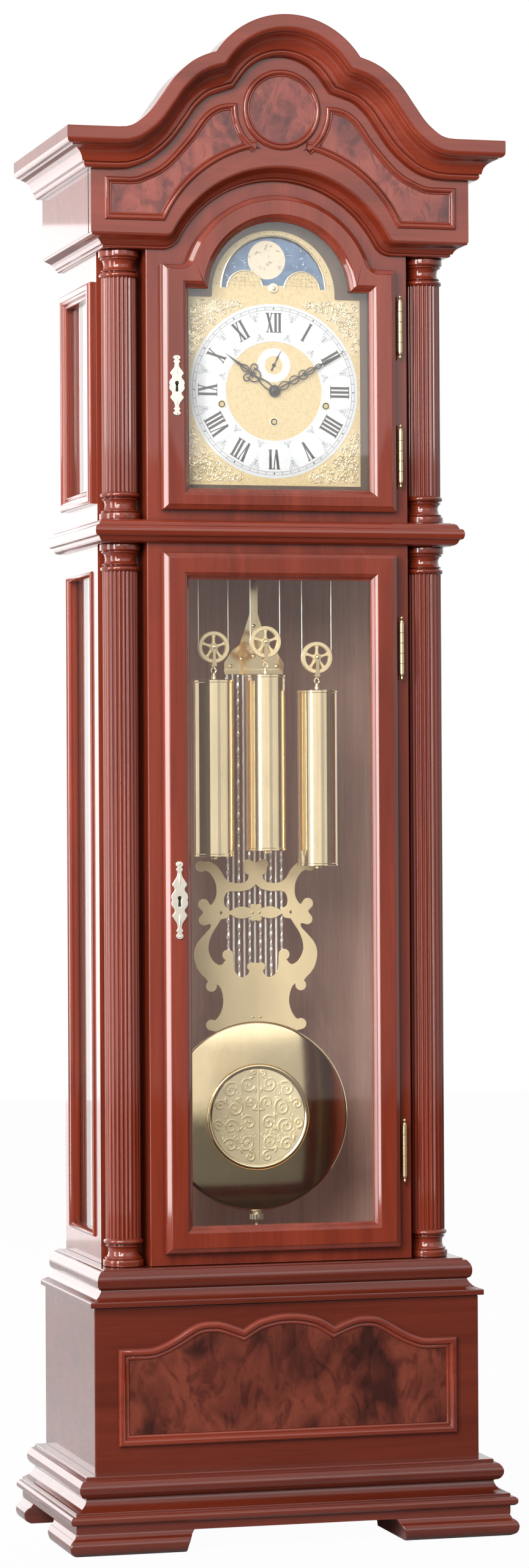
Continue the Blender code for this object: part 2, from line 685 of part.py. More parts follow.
def build_bed_moulding():
    """Coved moulding under the frieze, which follows its arch and fills in over the columns."""
    out = FRIEZE_OUT_FRONT
    profile = ((-0.004, CLEAR), (-0.004, out - 0.001), (0.0035, out - 0.0030), (0.007, 0.0165),
               (0.012, 0.0105), (0.0165, 0.0075), (0.017, 0.0045), (BED_HEIGHT, 0.0040), (BED_HEIGHT, CLEAR))
    scale = FRIEZE_OUT_SIDE / FRIEZE_OUT_FRONT
    path = frieze_line(0.008, 9)
    sections = []
    for (x, z), normal in zip(path[1:-1], mitres(path, False)[1:-1]):
        sections.append([(x - normal.x * a, CASE_FRONT - b, z - normal.y * a) for a, b in profile])
    ends = []
    for sign in (-1, 1):
        corner = [(sign * (CASE_HALF + b * scale), CASE_FRONT - b, Z_FRIEZE - a) for a, b in profile]
        rear = [(x, BACK - 0.0005, z) for x, y, z in corner]
        ends.append((corner, rear))
    bed = loft("bed", [ends[0][1], ends[0][0]] + sections + [ends[1][0], ends[1][1]])
    lap = 0.003
    return join(bed, *corner_blocks(Z_BED + CLEAR, Z_FRIEZE + lap, CASE_HALF + lap, CASE_FRONT - lap))


# Doors and hinges

def door_with_pane(prefix, outer, opening, rebate, pane):
    door = plate(f"{prefix}_door", [outer, opening], DOOR_FRONT, DOOR_BACK)
    cut(door, plate("rebate", [rebate], DOOR_BACK - REBATE_DEPTH, DOOR_BACK + REBATE_DEPTH))
    glass_front = DOOR_BACK - REBATE_DEPTH + CLEAR
    glass = plate(f"{prefix}_door_glass", [pane], glass_front, glass_front + GLASS_THICK, "glass")
    return door, glass


def build_trunk_door():
    low, high = Z_TRUNK + DOOR_GAP_BELOW, Z_WAIST - DOOR_GAP_ABOVE
    half = DOOR_HALF - DOOR_STILE
    loops = [rectangle(DOOR_HALF, low, high)]
    for grow in (0.0, REBATE_WIDTH, REBATE_WIDTH - CLEAR):
        loops.append(rectangle(half + grow, low + TRUNK_RAIL - grow, high - TRUNK_RAIL + grow))
    door, glass = door_with_pane("trunk", *loops)
    middle = low + (high - low) / 2 + 0.0035
    plaque = escutcheon("trunk_escutcheon", middle, 0.0535, 0.0155)
    hang_on("trunk_door_axis", (HINGE_X, HINGE_Y, low), door, glass, plaque)


def hood_loop(grow):
    half = DOOR_HALF - DOOR_STILE + grow
    radius = DOOR_ARCH_RADIUS - ARCH_STILE + grow
    low = Z_HOOD + HOOD_DOOR_BELOW + HOOD_RAIL - grow
    shoulder = Z_HOOD + HOOD_DOOR_SHOULDER - HOOD_SHOULDER_RAIL + grow
    return arched(half, low, shoulder, radius, ARCH_Z, 0.004, 8)


def build_hood_door():
    low, shoulder = Z_HOOD + HOOD_DOOR_BELOW, Z_HOOD + HOOD_DOOR_SHOULDER
    outer = arched(DOOR_HALF, low, shoulder, DOOR_ARCH_RADIUS, ARCH_Z, 0.014, 9)
    loops = [hood_loop(grow) for grow in (0.0, REBATE_WIDTH, REBATE_WIDTH - CLEAR)]
    door, glass = door_with_pane("hood", outer, *loops)
    plaque = escutcheon("hood_escutcheon", DIAL_Z + 0.0012, 0.0415, 0.014)
    hang_on("hood_door_axis", (HINGE_X, HINGE_Y, Z_HOOD), door, glass, plaque)


def escutcheon(name, middle, tall, wide):
    """A cast keyhole plate: a waisted body with a trefoil at each end and a keyhole through it."""
    centre = -DOOR_HALF + DOOR_STILE / 2
    right = [(0.0, -tall), (0.0045, -tall * 0.96), (0.006, -tall * 0.86), (0.0035, -tall * 0.74)]
    right += [(wide * 0.72, -tall * 0.58), (wide * 0.85, -tall * 0.42), (wide * 0.5, -tall * 0.26)]
    right += [(wide * 0.78, -tall * 0.12), (wide * 0.82, 0.0)]
    right += [(x, -z) for x, z in right[-2::-1]]
    outline = [(centre + x, middle + z) for x, z in mirrored(right)]
    keyhole = circle((centre, middle + 0.003), 0.0027, 8, -60, 240)
    keyhole += [(centre - 0.0019, middle - 0.008), (centre + 0.0019, middle - 0.008)]
    front = DOOR_FRONT - CLEAR
    return plate(name, [outline, keyhole], front - 0.0018, front, "brass")


def build_hinges():
    trunk_low, trunk_high = Z_TRUNK + DOOR_GAP_BELOW, Z_WAIST - DOOR_GAP_ABOVE
    places = {
        "trunk_hinge_upper": trunk_high - 0.1305,
        "trunk_hinge_lower": trunk_low + 0.1335,
        "hood_hinge_upper": Z_HOOD + HOOD_DOOR_SHOULDER - 0.079,
        "hood_hinge_lower": Z_HOOD + HOOD_DOOR_BELOW + 0.079,
    }
    half = HINGE_LENGTH / 2
    tip = ((0.0008, half + 0.0085), (0.0022, half + 0.006), (0.0012, half + 0.003),
           (HINGE_RADIUS, half + 0.001))
    for name, z in places.items():
        profile = [(r, z - h) for r, h in tip] + [(r, z + h) for r, h in reversed(tip)]
        hinge = turned(name, profile, (HINGE_X, HINGE_Y), "Z", 10)
        seat = CASE_FRONT - CLEAR
        low, high = z - half * 0.9, z + half * 0.9
        arm, edge = HINGE_X + HINGE_LEAF, FACE_HALF - 0.001
        plan = [(HINGE_X, HINGE_Y), (arm, HINGE_Y), (arm, seat - HINGE_LEAF), (edge, seat - HINGE_LEAF),
                (edge, seat), (HINGE_X, seat)]
        join(hinge, prism_z("leaf", plan, low, high))


# Dial, hands and movement

def build_dial():
    moon_low = MOON_Z + 0.0015
    window = circle((0, MOON_Z), MOON_RADIUS - 0.0035, 13, 1.2, 178.8)
    for centre, start, stop in ((-HUMP_X, 176, 13), (HUMP_X, 167, 4)):
        window += circle((centre, moon_low - 0.002), HUMP_RADIUS, 7, start, stop)
    holes = [window, circle((0, DIAL_Z), 0.0058, 12), circle((0, SECONDS_Z), 0.0024, 8)]
    for x, z, turn in zip(WEIGHT_XS, WINDING_ZS, (5, 11, 17)):
        holes.append(circle((x, z), 0.0048, 8, turn, turn + 360))
    dial = plate("dial_plate", [dial_outline(DIAL_LAP)] + holes, DIAL_FRONT, DIAL_BACK, "dial")
    axis_z = MOON_Z - 0.003
    stud_radius = 0.0022
    join(dial, turned("stud", [(stud_radius, DIAL_BACK - 0.001), (stud_radius, DIAL_BACK + 0.004)],
                      (0, axis_z), "Y", 10))

    near, far = DIAL_BACK + CLEAR, DIAL_BACK + 0.0018
    rim, bore = MOON_RADIUS - 0.003, stud_radius + 0.0004
    ring = [(bore, near), (rim, near), (rim, far), (bore, far)]
    disc = bored("moon_disc", ring, (0, axis_z), "Y", 22, "moon_blue")
    hang_on("moon_axis", (0, DIAL_BACK, axis_z), disc)


def hand_outline(length, boss, wide):
    """A pierced hand pointing up: ring boss, slim stem, leaf-shaped blade and a fine tip."""
    blade = length * 0.55
    right = circle((0, 0), boss, 6, -90, 62)
    right += [(0.0014, boss * 1.25), (0.0014, blade * 0.55), (wide * 0.55, blade * 0.68),
              (wide, blade * 0.88), (wide * 0.75, blade * 1.08), (0.0016, blade * 1.22),
              (0.0024, blade * 1.3), (0.0012, blade * 1.4), (0.0004, length)]
    bulge = (wide * 0.55, blade * 0.88)
    hole = [(0.0, blade * 0.72), bulge, (0.0, blade * 1.06), (-bulge[0], bulge[1])]
    return mirrored(right), hole


def place_hand(name, outlines, angle, centre_z, front, thick):
    turn = math.radians(angle)
    loops = []
    for loop in outlines:
        loops.append([(x * math.cos(turn) + z * math.sin(turn),
                       centre_z + z * math.cos(turn) - x * math.sin(turn)) for x, z in loop])
    return plate(name, loops, front, front + thick, "black_steel")


def build_hands():
    thick = 0.0008
    seconds_front = DIAL_FRONT - 0.0016
    hour_front = DIAL_FRONT - 0.0040
    minute_front = DIAL_FRONT - 0.0062

    right = [(0.0026, -0.002), (0.0026, 0.002), (0.0007, 0.004), (0.0003, SECONDS_LENGTH)]
    tail = [(0.0, -0.009), (0.0012, -0.008), (0.0007, -0.004)]
    outline = mirrored(tail + right)
    seconds = place_hand("seconds_hand", [outline], SECONDS_ANGLE, SECONDS_Z, seconds_front, thick)
    arbor = turned("arbor", [(0.0015, seconds_front + 0.0002), (0.0015, PLATE_REAR + PLATE_THICK - 0.0005)],
                   (0, SECONDS_Z), "Y", 8)
    teeth = []
    step = 360 / ESCAPE_TEETH
    for i in range(ESCAPE_TEETH):
        teeth += circle((0, SECONDS_Z), ESCAPE_RADIUS, 2, step * i, step * (i + 0.08))
        teeth += circle((0, SECONDS_Z), ESCAPE_RADIUS * 0.84, 1, step * (i + 0.55))
    join(seconds, arbor, plate("wheel", [teeth], ESCAPE_Y - 0.0008, ESCAPE_Y + 0.0008))
    hang_on("seconds_axis", (0, DIAL_FRONT, SECONDS_Z), seconds)

    outline, hole = hand_outline(HOUR_LENGTH, 0.0085, 0.0105)
    bore = circle((0, 0), 0.0036, 10)
    hour = place_hand("hour_hand", [outline, bore, hole], HOUR_ANGLE, DIAL_Z, hour_front, thick)
    near, far = hour_front + 0.0002, PLATE_FRONT - PLATE_THICK - 0.001
    pipe = [(0.0038, near), (0.0052, near), (0.0052, far), (0.0038, far)]
    join(hour, bored("pipe", pipe, (0, DIAL_Z), "Y", 10, phase=7))
    hang_on("hour_axis", (0, DIAL_FRONT, DIAL_Z), hour)

    outline, hole = hand_outline(MINUTE_LENGTH, 0.0070, 0.0080)
    minute = place_hand("minute_hand", [outline, hole], MINUTE_ANGLE, DIAL_Z, minute_front, thick)
    nut = ((0.0014, -0.0042), (0.0034, -0.0028), (0.0034, -0.0008), (0.003, 0.0004))
    profile = [(r, minute_front + y) for r, y in nut] + [(0.003, PLATE_FRONT - 0.0006)]
    join(minute, turned("arbor", profile, (0, DIAL_Z), "Y", 10))
    hang_on("minute_axis", (0, DIAL_FRONT, DIAL_Z), minute)


def build_movement():
    low, high = SEAT_TOP + CLEAR, DIAL_Z + PLATE_TOP
    outline = rectangle(PLATE_HALF, low, high)
    holes = [circle((0, z), 0.0020, 6) for z in (SECONDS_Z, PIVOT_Z)]
    for x, z, turn in zip(WEIGHT_XS, WINDING_ZS, (5, 11, 17)):
        holes.append(circle((x, z), ARBOR_RADIUS + CLEAR * 3, 6, turn, turn + 360))
    hour_hole = circle((0, DIAL_Z), 0.0038, 8)
    front = PLATE_FRONT - PLATE_THICK
    frame = plate("movement_frame", [outline, hour_hole] + holes, front, PLATE_FRONT, "brass")
    for sign in (-1, 1):
        for z in (low + 0.012, high - 0.012):
            post = [(0.004, PLATE_FRONT - 0.001), (0.004, PLATE_REAR + 0.001)]
            join(frame, turned("pillar", post, (sign * (PLATE_HALF - 0.008), z), "Y", 6))
    join(frame, plate("rear", [outline] + holes, PLATE_REAR, PLATE_REAR + PLATE_THICK))

    rear = PLATE_REAR + PLATE_THICK
    tab = PENDULUM_Y + 0.0095
    arm_z = PIVOT_Z + 0.014
    cock = box("cock", (-0.006, rear - 0.001, arm_z), (0.006, tab + 0.004, arm_z + 0.008))
    join(cock, box("tab", (-0.005, tab, PIVOT_Z - 0.006), (0.005, tab + 0.0035, arm_z + 0.004)))
    join(cock, turned("pin", [(0.0015, PENDULUM_Y - 0.003), (0.0015, tab + 0.001)], (0, PIVOT_Z), "Y", 8))
    join(frame, cock)

    build_seat()


def build_seat():
    """Board that carries the movement, slotted where the cables come down from the drums."""
    half = FACE_HALF - SIDE_THICK - CLEAR
    front = CASE_FRONT + FACE_THICK + 0.005
    low = SEAT_TOP - SEAT_THICK
    seat = box("seat_board", (-half, front, low), (half, front + SEAT_DEPTH, SEAT_TOP), "dark_wood")
    for x in WEIGHT_XS:
        middle = x + CABLE_OFFSET
        cut(seat, box("slot", (middle - 0.004, WEIGHT_Y - 0.014, low - 0.01),
                      (middle + 0.004, WEIGHT_Y + 0.014, SEAT_TOP + 0.01)))


# Weights and their drive

def build_weights():
    names = ("left", "centre", "right")
    under_seat = SEAT_TOP - SEAT_THICK
    rim = WEIGHT_RADIUS
    shell = rim - 0.0008
    for name, x, arbor_z, drop in zip(names, WEIGHT_XS, WINDING_ZS, WEIGHT_DROPS):
        pulley_z = arbor_z - drop
        top = pulley_z - PULLEY_ABOVE_WEIGHT
        low = top - WEIGHT_LENGTH
        profile = [(0.0045, low - 0.004), (0.0045, low), (rim, low), (rim, low + 0.004), (shell, low + 0.005),
                   (shell, top - 0.005), (rim, top - 0.004), (rim, top), (0.003, top), (0.003, top + 0.016)]
        weight = turned(f"weight_{name}", profile, (x, WEIGHT_Y), "Z", 16)
        join(weight, stirrup(x, top, pulley_z))
        hang_on(f"weight_{name}_line", (x, WEIGHT_Y, top), weight)
        build_pulley(name, x, pulley_z)
        build_cable(name, x, pulley_z, arbor_z, under_seat)
        build_drum(name, x, arbor_z)


def stirrup(x, top, pulley_z):
    """A U of strap that stands on the weight's stem and carries the pulley's axle."""
    inner = PULLEY_THICK / 2 + 0.0004
    outer = inner + 0.0014
    low, floor, high = top + 0.013, top + 0.019, pulley_z + 0.005
    section = [(-outer, low), (outer, low), (outer, high), (inner, high), (inner, floor), (-inner, floor),
               (-inner, high), (-outer, high)]
    rings = [[(side, WEIGHT_Y + y, z) for y, z in section] for side in (x - 0.0038, x + 0.0038)]
    axle = [(AXLE_RADIUS, WEIGHT_Y - inner - 0.001), (AXLE_RADIUS, WEIGHT_Y + inner + 0.001)]
    return join(loft("stirrup", rings), turned("axle", axle, (x, pulley_z), "Y", 8))


def build_pulley(name, x, z):
    """A grooved wheel with open spokes."""
    half = PULLEY_THICK / 2
    bore = AXLE_RADIUS + 0.0004
    section = ((bore, -half), (PULLEY_RADIUS, -half), (PULLEY_RADIUS, -half * 0.7), (GROOVE_RADIUS, 0.0),
               (PULLEY_RADIUS, half * 0.7), (PULLEY_RADIUS, half), (bore, half))
    profile = [(r, WEIGHT_Y + y) for r, y in section]
    pulley = bored(f"pulley_{name}", profile, (x, z), "Y", 15, phase=9.0)
    span = 360 / PULLEY_SPOKES
    for i in range(PULLEY_SPOKES):
        start = 90 + span * i
        gap = circle((x, z), GROOVE_RADIUS - 0.0035, 3, start + 12, start + span - 12)
        gap += circle((x, z), 0.0068, 2, start + span - 22, start + 22)
        cut(pulley, plate("gap", [gap], WEIGHT_Y - half * 2, WEIGHT_Y + half * 2))
    hang_on(f"pulley_{name}_axle", (x, WEIGHT_Y, z), pulley)


def build_cable(name, x, pulley_z, arbor_z, under_seat):
    """One cable from the seat board down round the pulley and up to the drum."""
    points = [(x - CABLE_OFFSET, under_seat - CLEAR)]
    points += circle((x, pulley_z), CABLE_OFFSET, 13, 180, 360)
    points.append((x + CABLE_OFFSET, arbor_z))
    curve = bpy.data.curves.new(f"cable_{name}", "CURVE")
    curve.dimensions = "3D"
    curve.bevel_depth = CABLE_RADIUS
    curve.bevel_resolution = 1
    curve.use_fill_caps = True
    spline = curve.splines.new("POLY")
    spline.points.add(len(points) - 1)
    for point, (a, b) in zip(spline.points, points):
        point.co = (a, WEIGHT_Y, b, 1.0)
    curve.materials.append(make_material(f"cable_{name}", "steel_cable"))
    bpy.context.collection.objects.link(bpy.data.objects.new(f"cable_{name}", curve))


def build_drum(name, x, z):
    half = DRUM_LENGTH / 2
    flange = half - 0.0015
    barrel = ((ARBOR_RADIUS, -half), (DRUM_FLANGE, -half), (DRUM_FLANGE, -flange), (GROOVE_RADIUS, -flange),
              (GROOVE_RADIUS, flange), (DRUM_FLANGE, flange), (DRUM_FLANGE, half), (ARBOR_RADIUS, half))
    profile = [(ARBOR_RADIUS, DIAL_FRONT - 0.0012)] + [(r, WEIGHT_Y + y) for r, y in barrel]
    profile.append((ARBOR_RADIUS, PLATE_REAR + PLATE_THICK - 0.0005))
    drum = turned(f"drum_{name}", profile, (x, z), "Y", 12)
    hang_on(f"drum_{name}_arbor", (x, WEIGHT_Y, z), drum)


# Pendulum

def twisted_rod(x, low, high):
    """A square bar twisted a quarter turn in each pitch, in steps of 60 degrees."""
    steps = max(2, round((high - low) / TWIST_PITCH * 1.5))
    rings = []
    for i in range(steps + 1):
        z = low + (high - low) * i / steps
        turn = 60.0 * i
        corners = circle((0, 0), TWIST_RADIUS, 4, turn, turn + 360)
        rings.append([(x + a, PENDULUM_Y + b, z) for a, b in corners])
    return loft("rod", rings)


def build_pendulum():
    fan_high = PIVOT_Z - FAN_BELOW_PIVOT
    fan_low = fan_high - FAN_HEIGHT
    grid_low = BOB_Z + GRID_ABOVE_BOB
    reach = ROD_SPACING * (RODS - 1) / 2
    right = [(reach + 0.0045, fan_low), (reach + 0.0045, fan_low + 0.012)]
    right += smooth([(reach - 0.004, fan_low + 0.026), (reach * 0.55, fan_low + 0.038),
                     (0.013, fan_high - 0.022), (STRIP_HALF, fan_high)], 2)
    right += [(STRIP_HALF, PIVOT_Z)] + circle((0, PIVOT_Z), STRIP_HALF, 4, 20, 70)
    right.append((0.0, PIVOT_Z + STRIP_HALF))
    eye = circle((0, PIVOT_Z), 0.0019, 8)
    rod = plate("pendulum_rod", [mirrored(right), eye], PENDULUM_Y - 0.001, PENDULUM_Y + 0.001, "brass")
    deep = TWIST_RADIUS + 0.0005
    tail = THREAD_RADIUS + 0.0002
    rail = reach + 0.004
    near, far = PENDULUM_Y - deep, PENDULUM_Y + deep
    join(rod, box("rail", (-rail, near, fan_low - 0.004), (rail, far, fan_low + 0.004)))
    join(rod, box("rail", (-rail, PENDULUM_Y - tail, grid_low - 0.012), (rail, far, grid_low)))
    for i in range(RODS):
        x = -reach + ROD_SPACING * i
        if i % 2 == 0:
            join(rod, twisted_rod(x, grid_low - 0.004, fan_low))
        else:
            straight = [(ROD_RADIUS, grid_low - 0.004), (ROD_RADIUS, fan_low)]
            join(rod, turned("rod", straight, (x, PENDULUM_Y), "Z", 6))
    tail_low = BOB_Z - BOB_RADIUS + 0.006
    join(rod, box("tail", (-STRIP_HALF, PENDULUM_Y - tail, tail_low),
                  (STRIP_HALF, PENDULUM_Y + tail - 0.0001, grid_low - 0.006)))
    thread = [(THREAD_RADIUS, tail_low - 0.042), (THREAD_RADIUS, tail_low + 0.004)]
    join(rod, turned("thread", thread, (0, PENDULUM_Y), "Z", 8))

    bob = build_bob(PENDULUM_Y - tail - CLEAR)
    lyre_rear = PENDULUM_Y - deep - CLEAR
    lyre = plate("lyre", lyre_outlines(), lyre_rear - LYRE_THICK, lyre_rear, "satin_brass")
    anchor = build_anchor()
    hang_on("pendulum_axis", (0, PENDULUM_Y, PIVOT_Z), rod, bob, lyre, anchor)

    nut_top = BOB_Z - BOB_RADIUS - CLEAR
    bore = THREAD_RADIUS + CLEAR
    neck = NUT_RADIUS * 0.6
    section = ((bore, -NUT_HEIGHT), (NUT_RADIUS, -NUT_HEIGHT), (NUT_RADIUS, -0.004), (neck, -0.002),
               (neck, 0.0), (bore, 0.0))
    nut = bored("rating_nut", [(r, nut_top + z) for r, z in section], (0, PENDULUM_Y), "Z", 14)
    hang_on("rating_axis", (0, PENDULUM_Y, nut_top), nut)


def build_bob(rear):
    """A spun lens with a flat back, a rolled rim and a raised medallion."""
    m = MEDALLION_RADIUS
    profile = [(BOB_RADIUS - 0.003, rear), (BOB_RADIUS, rear - 0.0012), (BOB_RADIUS - 0.001, rear - 0.003)]
    for share in (0.92, 0.80, 0.66):
        radius = BOB_RADIUS * share
        profile.append((radius, rear - 0.003 - (BOB_THICK - 0.005) * (1 - share ** 4)))
    crown = rear - BOB_THICK + 0.002
    profile += [(m + 0.002, crown + 0.0015), (m, crown - 0.0012), (m - 0.004, crown - 0.0012),
                (m - 0.0055, crown)]
    return turned("bob", profile, (0, BOB_Z), "Y", 28)


def lyre_outlines():
    """Flat lyre over the grid: scrolled outline, foot cut to the bob's rim, and two openings."""
    foot = BOB_RADIUS + 0.0006
    scroll = 0.0078
    right = [(foot * math.sin(math.radians(a)), foot * math.cos(math.radians(a))) for a in (0, 6, 12, 18, 24)]
    right += circle((0.0654, 0.1300), scroll, 6, -75, 125)
    right += smooth([(0.0535, 0.1445), (0.0482, 0.1600), (0.0505, 0.1790), (0.0565, 0.1868)], 2)
    right += circle((0.0654, 0.1848), scroll, 7, 165, 415)
    right += smooth([(0.0745, 0.1975), (0.0828, 0.2058), (0.0898, 0.2268), (0.0839, 0.2478),
                     (0.0715, 0.2615), (0.0650, 0.2700)], 2)
    right += circle((0.0752, 0.2783), scroll, 5, -110, 70)
    right += circle((0.0763, 0.3003), scroll, 5, -70, 150)
    right += smooth([(0.0620, 0.3020), (0.0575, 0.3150), (0.0585, 0.3300), (0.0660, 0.3430)], 2)
    right += circle((0.0795, 0.3540), scroll, 6, -120, 130)
    right += smooth([(0.0640, 0.3600), (0.0520, 0.3500), (0.0440, 0.3370), (0.0330, 0.3300),
                     (0.0175, 0.3300), (0.0100, 0.3390)], 2)
    right += circle((0.0095, 0.3600), scroll, 5, -50, 110) + [(0.0, 0.3610)]

    upper = [(0.0, 0.2985), (0.0380, 0.2970), (0.0440, 0.3040), (0.0430, 0.3130), (0.0360, 0.3180),
             (0.0200, 0.3190), (0.0, 0.3260)]
    lower = [(0.0, 0.2130), (0.0095, 0.2150), (0.0130, 0.2080), (0.0110, 0.2000), (0.0180, 0.1960),
             (0.0270, 0.1985), (0.0320, 0.2060), (0.0330, 0.2250)]
    lower += circle((0.0412, 0.2285), scroll, 5, 160, -60)
    lower += smooth([(0.0510, 0.2142), (0.0600, 0.2184), (0.0690, 0.2310), (0.0685, 0.2478),
                     (0.0610, 0.2640), (0.0510, 0.2790)], 2)
    lower += [(0.0380, 0.2835), (0.0200, 0.2780), (0.0060, 0.2835), (0.0, 0.2780)]
    return [[(x, BOB_Z + z) for x, z in mirrored(loop)] for loop in (right, upper, lower)]


def build_anchor():
    """Pallets over the escape wheel, their arbor, and the crutch that drives the pendulum."""
    pallet = ((0.0, -0.0035), (0.0105, -0.0095), (0.0122, -0.0125), (0.0145, -0.0085), (0.006, 0.002),
              (0.0, 0.0035))
    outline = mirrored([(x, PIVOT_Z + z) for x, z in pallet])
    anchor = plate("anchor", [outline], ESCAPE_Y - 0.0015, ESCAPE_Y + 0.0015, "brass")
    rear = PLATE_REAR + PLATE_THICK
    low = PIVOT_Z - 0.062
    radius, prong = 0.0015, STRIP_HALF + 0.0035
    arbor = [(radius, PLATE_FRONT - PLATE_THICK + 0.0005), (radius, rear + 0.011)]
    join(anchor, turned("arbor", arbor, (0, PIVOT_Z), "Y", 8))
    join(anchor, box("crutch", (-0.002, rear + 0.0085, low), (0.002, rear + 0.0105, PIVOT_Z + 0.003)))
    join(anchor, box("bar", (-prong, rear + 0.0080, low - 0.003), (prong, rear + 0.0110, low + 0.001)))
    for sign in (-1, 1):
        xs = sorted((sign * (STRIP_HALF + 0.0006), sign * prong))
        join(anchor, box("prong", (xs[0], rear + 0.009, low - 0.0025),
                         (xs[1], PENDULUM_Y + 0.003, low + 0.0005)))
    return anchor


def main():
    clear_scene()
    build_feet()
    build_base()
    build_face_frame()
    build_sides()
    build_back()
    build_waist()
    build_columns()
    build_pediment()
    build_trunk_door()
    build_hood_door()
    build_hinges()
    build_dial()
    build_hands()
    build_movement()
    build_weights()
    build_pendulum()


main()
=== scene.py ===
import math
import random

import bmesh
import bpy
import numpy
from mathutils import Matrix, Vector, geometry


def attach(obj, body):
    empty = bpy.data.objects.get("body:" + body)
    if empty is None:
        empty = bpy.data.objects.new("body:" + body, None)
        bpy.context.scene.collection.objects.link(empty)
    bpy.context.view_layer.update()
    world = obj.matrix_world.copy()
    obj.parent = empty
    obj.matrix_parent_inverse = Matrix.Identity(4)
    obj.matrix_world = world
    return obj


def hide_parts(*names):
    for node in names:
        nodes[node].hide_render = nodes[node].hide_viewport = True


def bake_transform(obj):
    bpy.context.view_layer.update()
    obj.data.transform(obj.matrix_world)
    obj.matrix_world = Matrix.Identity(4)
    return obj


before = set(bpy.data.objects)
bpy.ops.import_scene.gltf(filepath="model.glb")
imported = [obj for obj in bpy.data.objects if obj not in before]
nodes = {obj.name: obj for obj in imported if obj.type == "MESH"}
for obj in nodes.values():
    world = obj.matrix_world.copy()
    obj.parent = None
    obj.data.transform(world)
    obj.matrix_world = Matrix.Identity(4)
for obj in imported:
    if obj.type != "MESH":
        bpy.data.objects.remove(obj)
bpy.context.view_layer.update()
scene = bpy.context.scene
dice = random.Random(7)
print("frame loaded:", len(nodes), "solids of the clock")

# heights and plan that several pieces share, in metres, the same as the solids
plan = {"back": 0.1805, "caseHalf": 0.243, "caseFront": -0.1045, "faceHalf": 0.1875, "notch": -0.0425,
        "baseHalf": 0.2743, "baseFront": -0.1355, "friezeHalf": 0.2704, "friezeFront": -0.1315}
level = {"foot": 0.030, "cap": 0.331, "trunk": 0.3815, "waist": 1.3756, "hood": 1.4085, "bed": 1.780,
         "frieze": 1.799, "caseTop": 1.89836, "crown": 1.937, "peak": 2.100, "arch": 1.721, "dial": 1.5905}
gap = 0.0003  # kept between pieces that seat on each other


# shapes

def arc(centre, radius, count, start, stop):
    full = abs(stop - start) >= 360
    steps = count if full else max(count - 1, 1)
    turns = [math.radians(start + (stop - start) * i / steps) for i in range(count)]
    return [(centre[0] + radius * math.cos(t), centre[1] + radius * math.sin(t)) for t in turns]


def flow(points, steps=5):  # soft curve through every point
    padded = [points[0]] + list(points) + [points[-1]]
    found = []
    for p0, p1, p2, p3 in zip(padded, padded[1:], padded[2:], padded[3:]):
        for i in range(steps):
            t = i / steps
            found.append(tuple(0.5 * (2 * b + (c - a) * t + (2 * a - 5 * b + 4 * c - d) * t * t
                                      + (3 * b - a - 3 * c + d) * t ** 3)
                               for a, b, c, d in zip(p0, p1, p2, p3)))
    return found + [points[-1]]


def bothSides(right):
    return list(right) + [(-x, z) for x, z in reversed(right) if abs(x) > 1e-9]


def inwards(path, closed=True):  # left-hand normals, longer at corners so that a moulding keeps its width
    count = len(path)
    sides = []
    for i in range(count if closed else count - 1):
        a, b = Vector(path[i]), Vector(path[(i + 1) % count])
        along = (b - a).normalized()
        sides.append(Vector((-along.y, along.x)))
    found = []
    for i in range(count):
        before = sides[i - 1] if closed else sides[max(i - 1, 0)]
        after = sides[i] if closed else sides[min(i, count - 2)]
        middle = (before + after).normalized()
        found.append(middle / max(middle.dot(after), 0.35))
    return found


def shifted(path, distance):
    return [(x + n.x * distance, z + n.y * distance) for (x, z), n in zip(path, inwards(path))]


def breakArch(half, low, shoulder, radius, centre, fillet, count=22, corner=6):
    filletZ = shoulder + fillet
    filletX = math.sqrt((radius + fillet) ** 2 - (filletZ - centre) ** 2)
    lean = math.degrees(math.atan2(filletZ - centre, filletX))
    right = [(half, low), (half, shoulder)]
    right += arc((filletX, filletZ), fillet, corner, -90, -180 + lean)
    right += arc((0, centre), radius, count, lean, 90)[1:]
    return bothSides(right)


def boxLoop(half, low, high):
    return [(half, low), (half, high), (-half, high), (-half, low)]


def skin(bm, rings, closed=False):
    rows = [[bm.verts.new(p) for p in ring] for ring in rings]
    count = len(rows[0])
    pairs = list(zip(rows, rows[1:]))
    if closed:
        pairs.append((rows[-1], rows[0]))
    else:
        bm.faces.new(rows[0])
        bm.faces.new(rows[-1])
    for low, high in pairs:
        for i in range(count):
            j = (i + 1) % count
            bm.faces.new((low[i], low[j], high[j], high[i]))


def sweepFront(bm, path, profile, face, closed=True):  # profile is (offset to the left, proud of the face)
    skin(bm, [[(x + n.x * a, face - b, z + n.y * a) for a, b in profile]
              for (x, z), n in zip(path, inwards(path, closed))], closed)


def sweepCase(bm, profile, half, front):  # mitred round the front and both sides; profile is (out, height)
    back = plan["back"]
    skin(bm, [[(-half - o, back, z) for o, z in profile], [(-half - o, front - o, z) for o, z in profile],
              [(half + o, front - o, z) for o, z in profile], [(half + o, back, z) for o, z in profile]])


def turned(bm, profile, centre, axis="z", count=48, phase=0.0):  # profile is (radius, place along the axis)
    rings = []
    for radius, place in profile:
        ring = arc((0, 0), max(radius, 1e-5), count, phase, phase + 360)
        if axis == "z":
            rings.append([(centre[0] + a, centre[1] + b, place) for a, b in ring])
        else:
            rings.append([(centre[0] + a, place, centre[1] + b) for a, b in ring])
    skin(bm, rings)


def ringed(bm, profile, centre, axis="y", count=48):  # a turned ring: its profile is a loop off the axis
    rings = []
    for a, b in arc((0, 0), 1.0, count, 0, 360):
        if axis == "y":
            rings.append([(centre[0] + r * a, h, centre[1] + r * b) for r, h in profile])
        else:
            rings.append([(centre[0] + r * a, centre[1] + r * b, h) for r, h in profile])
    skin(bm, rings, True)


